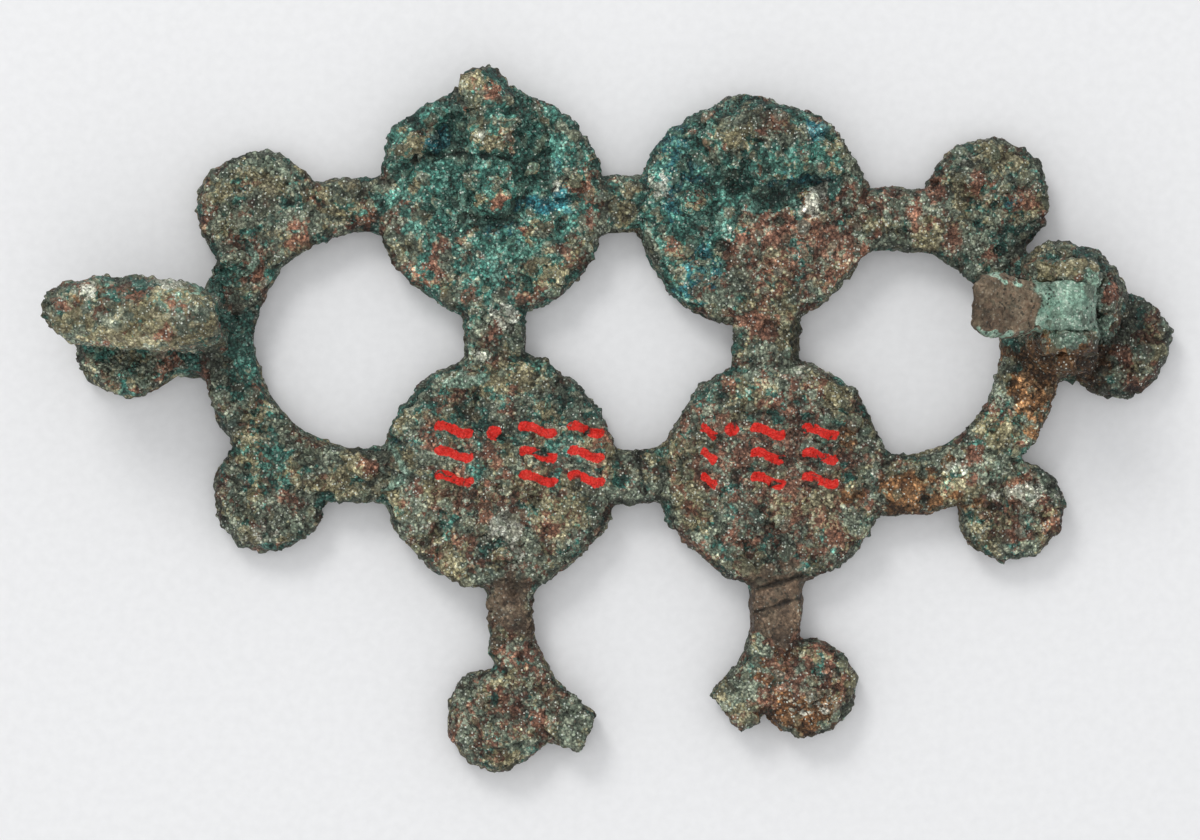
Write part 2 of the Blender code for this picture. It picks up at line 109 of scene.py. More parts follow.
camera = bpy.data.cameras.new("overhead")
camera.sensor_width = SENSOR
camera.lens = SENSOR * CAMERA_HEIGHT / VIEW_WIDTH
camera.clip_start, camera.clip_end = 0.01, 5
overhead = bpy.data.objects.new("overhead", camera)
overhead.location = (*(VIEW_MIDDLE * MM), (BACK + CAMERA_HEIGHT) * MM)
bpy.context.scene.collection.objects.link(overhead)
bpy.context.scene.camera = overhead
print("lens", round(camera.lens, 1), "mm")

# %% Lights


def softbox(name, at, size, power, tint):
    lamp = bpy.data.lights.new(name, "AREA")
    lamp.shape = "DISK"
    lamp.size = size
    lamp.energy = power
    lamp.color = tint
    holder = bpy.data.objects.new(name, lamp)
    holder.location = at
    holder.rotation_mode = "QUATERNION"
    holder.rotation_quaternion = (-Vector(at)).to_track_quat("-Z", "Y")
    bpy.context.scene.collection.objects.link(holder)


CARD_LIGHT = 0.79

softbox("window_above", (-0.12, 0.22, 0.24), 0.12, 0.32, (1.0, 0.99, 0.97))
softbox("ceiling", (-0.05, -0.05, 0.60), 0.50, 0.30, (1.0, 1.0, 1.0))

room = bpy.data.worlds.new("white_cards")
room.use_nodes = True
room.node_tree.nodes["Background"].inputs["Color"].default_value = (1.0, 1.0, 1.0, 1)
room.node_tree.nodes["Background"].inputs["Strength"].default_value = CARD_LIGHT
bpy.context.scene.world = room
bpy.context.scene.view_settings.view_transform = "Standard"

# %% [markdown]
# ## Shader maths
# A finish is a tree of nodes, which is tiresome to wire by hand. The class below wraps one output socket,
# so that a sum such as `1 - mask * 0.5` adds the Math nodes that it needs. Its `node` method adds any other
# node.

# %% The wrapped socket


class Signal:
    """One value, colour or vector in a finish. Sums with numbers or other signals add Math nodes."""

    def __init__(self, tree, socket=None):
        self.tree = tree
        self.socket = socket

    def node(self, kind, settings=None, inputs=None, out=0):
        """Adds a node. Its settings come first, then the numbers or signals of its sockets."""
        made = self.tree.nodes.new(kind)
        for key, value in (settings or {}).items():
            if key == "stops":
                self.set_stops(made.color_ramp, value)
            else:
                setattr(made, key, value)
        for key, value in (inputs or {}).items():
            if isinstance(value, Signal):
                self.tree.links.new(value.socket, made.inputs[key])
            else:
                made.inputs[key].default_value = value
        return Signal(self.tree, made.outputs[out])

    @staticmethod
    def set_stops(ramp, stops):
        while len(ramp.elements) < len(stops):
            ramp.elements.new(0.5)
        for element, (place, tone) in zip(ramp.elements, stops):
            element.position = place
            element.color = tone

    def maths(self, operation, *others, clamp=False):
        settings = {"operation": operation, "use_clamp": clamp}
        return self.node("ShaderNodeMath", settings, dict(enumerate((self, *others))))

    def __add__(self, other):
        return self.maths("ADD", other)

    def __sub__(self, other):
        return self.maths("SUBTRACT", other)

    def __mul__(self, other):
        return self.maths("MULTIPLY", other)

    def __rsub__(self, other):
        return self.node("ShaderNodeMath", {"operation": "SUBTRACT"}, {0: other, 1: self})

    __radd__ = __add__

    def clamped(self):
        return self.maths("ADD", 0.0, clamp=True)

    def parts(self):
        split = self.node("ShaderNodeSeparateXYZ", inputs={0: self}).socket.node
        return [Signal(self.tree, split.outputs[i]) for i in range(3)]

    def scaled(self, factor):
        return self.node("ShaderNodeVectorMath", {"operation": "SCALE"}, {0: self, "Scale": factor})

    def shifted(self, other):
        return self.node("ShaderNodeVectorMath", {"operation": "ADD"}, {0: self, 1: other})

    def blend(self, other, share, mode="MIX"):
        """This colour with another laid over it by a share from 0 to 1."""
        settings = {"data_type": "RGBA", "blend_type": mode, "clamp_factor": True}
        return self.node("ShaderNodeMix", settings, {0: share, 6: self, 7: other}, out=2)


def tone(red, green, blue):
    """A colour as seen on a screen, from 0 to 255, turned into the light that a shader works with."""
    return tuple((c / 255) ** 2.2 for c in (red, green, blue)) + (1.0,)


def new_finish(name):
    finish = bpy.data.materials.new(name)
    finish.use_nodes = True
    shader = finish.node_tree.nodes["Principled BSDF"]
    return finish, shader, Signal(finish.node_tree)


def plug(shader, socket, signal):
    signal.tree.links.new(signal.socket, shader.inputs[socket])


print("tone check", [round(c, 3) for c in tone(128, 128, 128)[:3]])

# %% [markdown]
# ## The floor
# White paper lies under the brooch. A large plane is enough, with a trace of fibre in its tone. It belongs
# to the stage and not to the object.

# %% Paper floor
FLOOR_SIZE = 3.0
FIBRE_SCALE = 2500.0
bm = bmesh.new()
bmesh.ops.create_grid(bm, x_segments=1, y_segments=1, size=FLOOR_SIZE / 2)
mesh = bpy.data.meshes.new("paper_floor")
bm.to_mesh(mesh)
bm.free()
floor = bpy.data.objects.new("paper_floor", mesh)
bpy.context.scene.collection.objects.link(floor)
finish, shader, bench = new_finish("white_paper")
here = bench.node("ShaderNodeTexCoord", out="Object")
fibre = here.node("ShaderNodeTexNoise", inputs={"Vector": here, "Scale": FIBRE_SCALE, "Detail": 2.0})
plug(shader, "Base Color", fibre.node(
    "ShaderNodeValToRGB", {"stops": ((0.3, tone(232, 233, 235)), (0.7, tone(236, 237, 239)))}, {0: fibre}
))
shader.inputs["Roughness"].default_value = 0.8
shader.inputs["Specular IOR Level"].default_value = 0.2
mesh.materials.append(finish)
print("floor", FLOOR_SIZE, "m")

# %% [markdown]
# ## The skin of corrosion
# Buried bronze grows a crust of rounded grains, with lumps, pits and a nibbled outline. A sculptor would
# push clay about. Here the solid is turned into a fine even mesh by a voxel remesh, its lumps are raised,
# and a second remesh evens out what they stretched. Then each point is moved by sums of noise: a slow warp
# for the outline, cell patterns for pebbles and crumbs, and pits. The front, which lies on the paper, is
# left smoother, because it is hidden.

# %% Fine mesh of a solid
MERGE_REACH = 1e-7
FIRST_VOXEL, FINE_VOXEL, SMALL_VOXEL = 0.10, 0.068, 0.06


def merged_copy(node, name):
    """A solid's mesh with its shared corners merged, as a new object."""
    bm = bmesh.new()
    bm.from_mesh(frame["nodes"][node].data)
    bmesh.ops.remove_doubles(bm, verts=bm.verts, dist=MERGE_REACH)
    mesh = bpy.data.meshes.new(name)
    bm.to_mesh(mesh)
    bm.free()
    piece = bpy.data.objects.new(name, mesh)
    bpy.context.scene.collection.objects.link(piece)
    return piece


def refined(piece, voxel, soften):
    """Gives the piece a closed even mesh of this voxel in millimetres, softened this many times."""
    grid = piece.modifiers.new("grid", "REMESH")
    grid.mode = "VOXEL"
    grid.voxel_size = voxel * MM
    soft = piece.modifiers.new("soft", "SMOOTH")
    soft.factor = 0.5
    soft.iterations = soften
    piece.data = settled(piece, piece.name)
    piece.modifiers.clear()
    return piece


def settled(holder, name):
    """The mesh of an object with its modifiers worked in."""
    bpy.context.view_layer.update()
    done = holder.evaluated_get(bpy.context.evaluated_depsgraph_get())
    mesh = bpy.data.meshes.new_from_object(done)
    mesh.name = name
    return mesh


def points_of(mesh):
    flat = np.empty(len(mesh.vertices) * 3, np.float32)
    mesh.vertices.foreach_get("co", flat)
    return flat.reshape(-1, 3).astype(float) / MM


def normals_of(mesh):
    flat = np.empty(len(mesh.vertices) * 3, np.float32)
    mesh.vertex_normals.foreach_get("vector", flat)
    return flat.reshape(-1, 3).astype(float)


def move_to(piece, points):
    piece.data.vertices.foreach_set("co", (points * MM).astype(np.float32).ravel())
    piece.data.update()


body = refined(merged_copy("brooch_body", "brooch_body_crusted"), FIRST_VOXEL, 5)
print("even mesh of the body:", len(body.data.vertices), "points")

# %% [markdown]
# Grains come from a cell pattern. In some cells a round pebble sits, and the rest stay bare, so the pebbles
# lie strewn as on the real crust. Crumbs are smaller grains that touch, with creases between them, and they
# fade out where the crust is smooth. A coarse noise and the heavy patches, told further down, say where the
# crust is rough. Two more noises push the points sideways, which nibbles at the outline. All lengths are in
# millimetres.

# %% Grains and warps
PEBBLE_SIZE, PEBBLE_RISE = 0.80, 0.20
SHOT_SIZE, SHOT_RISE = 0.46, 0.13
CRUMB_SIZE, CRUMB_RISE = 0.34, 0.13
CREASE_WIDTH = 0.40
SWELL_SIZE, SWELL_RISE = 1.7, 0.12
PIT_SIZE, PIT_DEPTH = 0.55, 0.20
PIT_FROM, PIT_GAIN = 0.30, 2.2
NIBBLE, NIBBLE_SIZE = 0.15, 0.9
CHEW, CHEW_SIZE = 0.14, 0.27
ROUGH_SIZE = 1.3
SUNK = 0.10
FRONT_CALM = 0.12

# Factors that turn a cell's middle into its chance of a pebble and into its own number
CHANCE_KEY, OWN_KEY = 37.0, 53.0

# Noise that pushes points sideways follows the clock unless it is given a fixed start
NOISE_SEED = 7
noise.seed_set(NOISE_SEED)


def pebble(point, size, share):
    """A pebble's height here, from 0 to 1, and its own random number. Share tells how many cells hold one."""
    distances, centres = noise.voronoi(point / size)
    if noise.cell(centres[0] * CHANCE_KEY) * 0.5 + 0.5 > share:
        return 0.0, 0.0
    own = noise.cell(centres[0] * OWN_KEY)
    return max(0.0, 1 - (distances[0] / (0.30 + 0.28 * abs(own))) ** 2) ** 0.6, own * 0.5 + 0.5


def grain(point, size):
    """How high a crumb stands here, from 0 in the crease round it to about 1 on the top of a tall one."""
    distances, centres = noise.voronoi(point / size)
    inward = min(1.0, (distances[1] - distances[0]) / CREASE_WIDTH)
    return (1 - (1 - inward) ** 2) * (0.4 + 0.6 * abs(noise.cell(centres[0] * CHANCE_KEY)))


def crust(points, normals, calm, heavy):
    """Moves the points. Returns them with how proud each one stands, and with the pebble that it is on.

    Calm is 0 for full crust, 1 for none. A pebble is told by how much of it is here and by its own number.
    """
    moved = np.array(points)
    proud = np.zeros(len(points))
    stones = np.zeros((len(points), 2))
    for i, (x, y, z) in enumerate(points):
        at = Vector((x, y, z))
        swell = noise.noise(at / SWELL_SIZE) * SWELL_RISE
        rough = noise.noise(at / ROUGH_SIZE + Vector((7, 1, 4)))
        coarse = min(1.0, max(0.15, 0.5 + 1.6 * rough + 0.4 * heavy[i]))
        pebbles, large_own = pebble(at + Vector((3, 5, 2)), PEBBLE_SIZE, 0.15 + 0.4 * heavy[i])
        shots, small_own = pebble(at + Vector((6, 2, 9)), SHOT_SIZE, 0.25 + 0.35 * coarse)
        crumbs = grain(at, CRUMB_SIZE) * coarse
        pits = max(0.0, noise.noise(at / PIT_SIZE + Vector((1, 8, 5))) - PIT_FROM) * PIT_GAIN
        rise = pebbles * PEBBLE_RISE + shots * SHOT_RISE + crumbs * CRUMB_RISE - pits * PIT_DEPTH
        share = 1 - calm[i]
        sideways = 0.45 + 0.55 * abs(normals[i][2])
        nibble = noise.noise_vector(at / NIBBLE_SIZE) * NIBBLE + noise.noise_vector(at / CHEW_SIZE) * CHEW
        moved[i] += normals[i] * (rise * sideways + swell - SUNK) * share
        moved[i][:2] += np.array(nibble[:2]) * (0.35 + 0.65 * share) * (0.7 + 0.8 * heavy[i])
        proud[i] = 0.4 * pebbles + 0.4 * shots + 0.5 * crumbs - 0.9 * pits
        stones[i] = (pebbles, large_own) if pebbles > shots else (shots, small_own)
    return moved, proud, stones


# %% [markdown]
# ## Lumps
# Some lumps are named, because anyone who knows the brooch would miss them: the shield-shaped ridge with
# its brow on one upper disc, the long bank and the valley under it on the other, and blisters on rings and
# lobes. Each is an oval told from its disc's middle, as place, radii, turn and rise. Its last number is how
# much of it slopes, so 1 is a dome and 0.3 a shelf. Forms add to what is there, and shelves fill up what
# lies lower. After them come swellings of the crust to all sides, dark cracks, and the patches where the
# crust is heavy.

# %% Lumps and hollows
FORMS = {
    "chin_knob": ("upper_left", 0.30, 0.78, 0.52, 0.42, 0, 0.30, 0.55),
    "left_knob": ("upper_left", -0.75, 0.85, 0.45, 0.38, 20, 0.16, 0.7),
    "low_knob": ("upper_left", -0.1, -0.15, 0.75, 0.40, 10, 0.14, 0.6),
    "valley_right": ("upper_left", 2.15, 1.5, 0.50, 1.35, 12, -0.24, 0.9),
    "valley_left": ("upper_left", -1.95, 2.4, 0.45, 1.4, -14, -0.20, 0.9),
    "peak_flake": ("upper_left", -0.75, 4.55, 0.42, 0.75, -25, 0.22, 0.4),
    "brow_flake": ("upper_left", 0.35, 2.25, 0.95, 0.50, -12, 0.14, 0.5),
    "chin_plate": ("upper_left", -0.05, 0.0, 0.95, 0.62, 8, 0.18, 0.35),
    "side_nub": ("upper_left", 1.83, 1.15, 0.38, 0.34, 0, 0.50, 0.5),
    "yellow_nub": ("upper_left", 1.20, 3.30, 0.38, 0.30, 10, 0.40, 0.5),
    "brow_nub": ("upper_left", -0.35, 2.55, 0.50, 0.35, 20, 0.16, 0.7),
    "rim_nub": ("upper_left", 1.68, 4.25, 0.32, 0.32, 0, 0.40, 0.6),
    "left_cluster": ("upper_left", -2.1, 3.5, 0.9, 0.75, 30, 0.14, 0.7),
    "left_lump": ("upper_left", -3.5, 2.0, 0.9, 0.6, 40, 0.20, 0.6),
    "low_left_lump": ("upper_left", -2.6, 0.9, 0.9, 0.4, 10, 0.14, 0.7),
    "right_flank": ("upper_left", 3.6, 0.9, 0.8, 0.5, -30, 0.20, 0.7),
    "valley_bed": ("upper_right", 0.95, 0.30, 1.5, 0.50, 0, -0.22, 0.9),
    "valley_west": ("upper_right", -0.75, 1.10, 0.7, 0.5, -40, -0.20, 0.9),
    "valley_east": ("upper_right", 2.5, 1.15, 0.9, 0.45, 38, -0.22, 0.9),
    "red_nub": ("upper_right", 1.0, 3.35, 0.55, 0.42, 0, 0.20, 0.6),
    "toe_nub": ("upper_right", -0.8, 1.85, 0.42, 0.36, 0, 0.26, 0.6),
    "mound": ("upper_right", -2.3, 0.45, 0.90, 0.80, 0, 0.26, 0.7),
    "mound_low": ("upper_right", -3.15, -1.5, 0.80, 0.50, -10, 0.26, 0.7),
    "rim_chip": ("upper_right", -4.25, 1.5, 0.35, 0.32, 0, 0.30, 0.7),
    "pale_chip": ("upper_right", 2.35, 0.45, 0.42, 0.60, 25, 0.16, 0.5),
    "blister": ("lower_left", 0.1, -3.35, 0.62, 0.46, 0, 0.26, 0.7),
    "blister_moat": ("lower_left", 0.1, -2.85, 0.8, 0.2, 0, -0.14, 0.9),
    "left_crumb": ("lower_left", -0.65, 4.55, 0.45, 0.40, 0, 0.25, 0.7),
    "low_dip": ("lower_left", -2.0, -1.0, 1.6, 0.8, 20, -0.10, 0.9),
    "low_rise": ("lower_left", 2.3, -1.8, 1.5, 1.2, 30, 0.10, 0.6),
    "middle_dip": ("lower_right", 0.4, 2.2, 1.6, 0.5, -10, -0.12, 0.9),
    "upper_flake": ("lower_right", 1.6, 3.5, 1.5, 0.8, -20, 0.18, 0.35),
    "left_flake": ("lower_right", -2.2, 2.2, 1.2, 0.8, 40, 0.14, 0.35),
    "ring_blister": ("left_upper", -0.95, -1.95, 0.85, 0.65, 0, 0.42, 0.8),
    "blister_foot": ("left_lower", 3.95, 1.15, 1.15, 0.75, 0, 0.24, 0.6),
    "lobe_knob": ("right_upper", -0.9, 0.95, 0.75, 0.60, 0, 0.25, 0.8),
    "neck_flake": ("lower_right", 2.6, 3.2, 1.0, 0.7, 0, 0.18, 0.4),
    "lobe_flake": ("right_lower", 0.5, 0.75, 1.1, 0.55, -15, 0.16, 0.35),
    "end_flake": ("below_left", 0.2, -0.6, 1.2, 0.6, 10, 0.12, 0.4),
    "orange_flake": ("below_right", -0.2, 0.1, 1.1, 0.9, 10, 0.12, 0.35),
    "ring_scab": ("right_lower", -4.3, 0.8, 1.2, 0.7, 0, 0.20, 0.35),
    "ring_ridge": ("right_lower", -0.3, 3.4, 0.4, 1.6, -35, 0.16, 0.8),
}

FORM_GAIN = 1.3

# Raised ground that fills up what lies under it, with its height over the plate
SHELVES = {
    "peak": ("upper_left", -0.36, 4.35, 1.05, 1.05, 0, 0.80, 0.5),
    "shoulder": ("upper_left", -0.10, 3.55, 1.45, 1.1, 0, 0.95, 0.5),
    "upper_ridge": ("upper_left", 0.05, 2.55, 1.75, 1.35, -4, 0.98, 0.55),
    "lower_ridge": ("upper_left", 0.10, 0.70, 1.50, 1.40, 0, 0.82, 0.3),
    "bank": ("upper_right", 0.45, 3.05, 3.0, 1.40, -6, 0.80, 0.5),
    "bank_belly": ("upper_right", 1.0, 2.2, 2.0, 1.45, 0, 0.72, 0.4),
    "bank_end": ("upper_right", 3.0, 2.2, 1.3, 0.85, -42, 0.45, 0.5),
    "low_plateau": ("upper_right", 1.7, -1.9, 3.3, 2.6, 25, 0.20, 0.10),
    "right_rim": ("lower_left", 3.4, 1.9, 1.3, 0.8, -40, 0.16, 0.3),
    "left_rim": ("lower_left", -3.2, 2.2, 1.6, 0.9, 40, 0.14, 0.3),
    "low_rim": ("lower_left", -0.6, -3.7, 2.4, 0.9, 4, 0.14, 0.25),
    "upper_rim": ("lower_right", -1.0, 3.2, 2.0, 1.0, 12, 0.15, 0.25),
    "middle": ("lower_right", 0.6, -1.8, 3.4, 2.2, 10, 0.10, 0.12),
}

# Where the crust bulges out to all sides, in millimetres
SWELLS = (
    ("hinge", 0.9, 0.75, 1.3, 0.55, 0.16),
    ("hinge", 0.9, -0.75, 0.9, 0.45, 0.14),
    ("upper_left", -0.30, 4.5, 1.5, 1.2, 0.22),
    ("hinge", 0.7, 1.0, 1.6, 1.3, 0.18),
    ("hinge", 0.7, -1.2, 1.6, 0.7, 0.12),
)

# Cracks and creases, each a line from one place to the next. They are cut in, and painted shade darkens them.
CRACK_WIDTH, CRACK_DEPTH = 0.11, 0.16
CRACKS = (
    ("upper_left", (-0.40, 1.82), (0.38, 1.70), (1.20, 1.44)),
    ("upper_left", (-2.95, 1.92), (-2.0, 1.80), (-0.98, 1.90)),
    ("upper_left", (-0.95, -0.10), (-0.45, -0.60), (0.18, -0.72), (0.85, -0.36)),
    ("lower_left", (5.50, 0.80), (5.62, 0.0), (5.82, -0.85)),
    ("lower_right", (-0.75, -5.60), (1.30, -4.94)),
    ("lower_right", (-0.60, -4.64), (1.45, -4.02)),
)

# Where the crust is heavy, with its share
HEAVY = (
    ("upper_left", 0.0, 2.2, 4.8, 3.2, 1.0),
    ("upper_left", 0.0, -1.5, 4.8, 3.0, 0.4),
    ("upper_right", 0.4, 2.8, 4.2, 2.0, 0.8),
    ("upper_right", -2.9, 0.0, 1.8, 3.0, 0.7),
    ("hinge", 0.6, 0.2, 2.8, 2.8, 0.9),
    ("right_end", 0.3, -0.3, 2.6, 2.4, 0.8),
    ("left_upper", 0.0, 0.0, 2.6, 2.6, 0.5),
    ("right_upper", 0.0, 0.0, 2.6, 2.6, 0.5),
    ("lower_right", 1.8, 3.4, 2.4, 1.4, 0.5),
    ("right_lower", -1.0, 1.0, 4.2, 3.6, 0.5),
    ("below_left", 2.3, 0.2, 1.4, 1.4, 1.0),
    ("below_right", -2.4, -0.2, 1.4, 1.4, 1.0),
)
HEAVY_ELSEWHERE = 0.35


def rough_noise(points, size):
    return np.array([noise.noise(Vector(p) / size + Vector((4, 9, 2))) for p in points])


def oval(points, centre, wide, deep, turn=0.0):
    """How far each point is from an oval's middle in plan, where 1 is the oval's edge."""
    east, north = points[:, 0] - centre.x, points[:, 1] - centre.y
    c, s = math.cos(math.radians(turn)), math.sin(math.radians(turn))
    return np.hypot((east * c + north * s) / wide, (north * c - east * s) / deep)


def form_height(points, place, torn):
    """The height of a lump over the plate, or of a hollow under it."""
    anchor, east, north, wide, deep, turn, rise, slope = place
    away = oval(points, ANCHORS[anchor] + Vector((east, north)), wide, deep, turn) + torn * 0.22
    inside = np.clip((1 - away) / slope, 0, 1)
    return rise * inside**2 * (3 - 2 * inside)


def in_cracks(points):
    """1 in the middle of a crack, 0 away from all of them."""
    found = np.zeros(len(points))
    bend = rough_noise(points, 0.5) * 0.12
    for anchor, *corners in CRACKS:
        for start, end in zip(corners, corners[1:]):
            start, end = ANCHORS[anchor] + Vector(start), ANCHORS[anchor] + Vector(end)
            way = end - start
            off = points[:, :2] - np.array(start)
            along = np.clip(off @ np.array(way) / way.length_squared, 0, 1)
            away = np.hypot(*(off - along[:, None] * np.array(way)).T) + bend
            found = np.maximum(found, np.clip(1 - away / CRACK_WIDTH, 0, 1))
    return found


def heavy_shares(points, torn):
    heavy = np.full(len(points), HEAVY_ELSEWHERE)
    for anchor, east, north, wide, deep, share in HEAVY:
        away = oval(points, ANCHORS[anchor] + Vector((east, north)), wide, deep) + torn * 0.3
        heavy = np.maximum(heavy, np.clip((1.1 - away) / 0.3, 0, 1) * share)
    return heavy


# %% [markdown]
# Patina and earth, and the painted shade and highlights, all follow what is high and what is low. The
# function below draws a map of the surface's height from above, blurs it, and compares each point with the
# blurred map. It does so once for grains and once for lumps.

# %% How proud a point stands
MAP_STEP = 0.1
GRAIN_REACH, GRAIN_SWING = 0.25, 0.07
LUMP_REACH, LUMP_SWING = 0.80, 0.30


def over_surroundings(points, reach):
    """How far each point stands over the mean height round it, seen from above."""
    low = points[:, :2].min(axis=0) - 3 * reach
    place = tuple(((points[:, :2] - low) / MAP_STEP).astype(int).T)
    shape = [int(part.max() + 3 * reach / MAP_STEP) + 1 for part in place]
    heights = np.zeros(shape)
    np.maximum.at(heights, place, points[:, 2])
    waves = np.fft.fftfreq(shape[0])[:, None] ** 2 + np.fft.rfftfreq(shape[1]) ** 2
    veil = np.exp(-2 * (math.pi * reach / MAP_STEP) ** 2 * waves)
    blurred = [np.fft.irfft2(np.fft.rfft2(layer) * veil, shape) for layer in (heights, (heights > 0) * 1.0)]
    return points[:, 2] - (blurred[0] / np.maximum(blurred[1], 0.01))[place]


def standing(points, normals, proud):
    """-1 in a hollow, 1 on a top, for grains and for lumps. On steep sides the grain's own number serves."""
    grains = np.clip(over_surroundings(points, GRAIN_REACH) / GRAIN_SWING, -1.2, 1.2)
    lumps = np.clip(over_surroundings(points, LUMP_REACH) / LUMP_SWING, -1.2, 1.2)
    upper = np.clip(normals[:, 2] * 2 - 0.2, 0, 1)
    return (grains * 0.75 + lumps * 0.25) * upper + (proud - 0.4) * 0.8 * (1 - upper), lumps * upper


# %% Raise the lumps
points = points_of(body.data)
torn = rough_noise(points, 0.6)
upper = np.clip((points[:, 2] - BACK + 0.5) / 0.3, 0, 1) * np.clip((4.5 - points[:, 2]) / 1.5, 0, 1)
for place in SHELVES.values():
    height = form_height(points, place, torn)
    lift = np.maximum(BACK + height - 0.1 - points[:, 2], 0)
    points[:, 2] += lift * upper * np.clip(height * 20, 0, 1)
facing_up = np.clip(normals_of(body.data)[:, 2] * 1.5, 0, 1) * upper
points[:, 2] += sum(form_height(points, place, torn) for place in FORMS.values()) * facing_up * FORM_GAIN
move_to(body, points)
refined(body, FINE_VOXEL, 2)
print("fine mesh of the body:", len(body.data.vertices), "points")

# %% Grow the crust
points = points_of(body.data)
normals = normals_of(body.data)
torn = rough_noise(points, 0.6)
sheared = form_height(points, ("lower_right", 0.15, -5.45, 1.7, 1.7, 0, 1.0, 0.5), torn)
front = np.clip((0.9 - points[:, 2]) / 0.5, 0, 1) * np.clip(-normals[:, 2] * 2, 0, 1)
calm = np.maximum(sheared * 0.85, front * (1 - FRONT_CALM))
for anchor, east, north, wide, deep, amount in SWELLS:
    away = oval(points, ANCHORS[anchor] + Vector((east, north)), wide, deep)
    points += normals * (np.clip((1 - away) * 2, 0, 1) * np.clip(points[:, 2] - 1, 0, 1) * amount)[:, None]
points, proud, stones = crust(points, normals, calm, heavy_shares(points, torn))
cracked = in_cracks(points) * np.clip(normals[:, 2] * 2, 0, 1)
points[:, 2] -= cracked * CRACK_DEPTH
points[:, 2] = np.maximum(points[:, 2], 0.0)
move_to(body, points)
proud, lump = standing(points, normals, proud)
# Cracks count as deep hollows, so the painted shade of hollows darkens them.
proud -= cracked * 1.5
print("body crusted, proud at 5, 50 and 95%:", np.percentile(proud, (5, 50, 95)).round(2))

# %% [markdown]
# A fine mesh of everything would be too heavy. A Decimate step merges points where the surface is flattest,
# which is mostly on the hidden front. What each point knew about its height is then looked up from the
# nearest old point, since a merged mesh has new ones.

# %% Thin the mesh
BODY_TRIANGLES = 196_000


def thinned(piece, triangles):
    """Merges points down to a number of triangles, first where the surface is flattest."""
    piece.data.calc_loop_triangles()
    count = len(piece.data.loop_triangles)
    if count > triangles:
        thin = piece.modifiers.new("thin", "DECIMATE")
        thin.ratio = triangles / count
        piece.data = settled(piece, piece.name)
        piece.modifiers.clear()
    print(piece.name, count, "triangles, thinned to", min(count, triangles))


def nearest_values(points, values, wanted):
    tree = kdtree.KDTree(len(points))
    for i, point in enumerate(points):
        tree.insert(point, i)
    tree.balance()
    return np.array([values[tree.find(point)[1]] for point in wanted])


thinned(body, BODY_TRIANGLES)
body.data.shade_smooth()
body_points = points_of(body.data)
body_skin = nearest_values(points, np.column_stack((proud, lump, stones)), body_points)
print("body:", len(body.data.polygons), "faces after thinning")
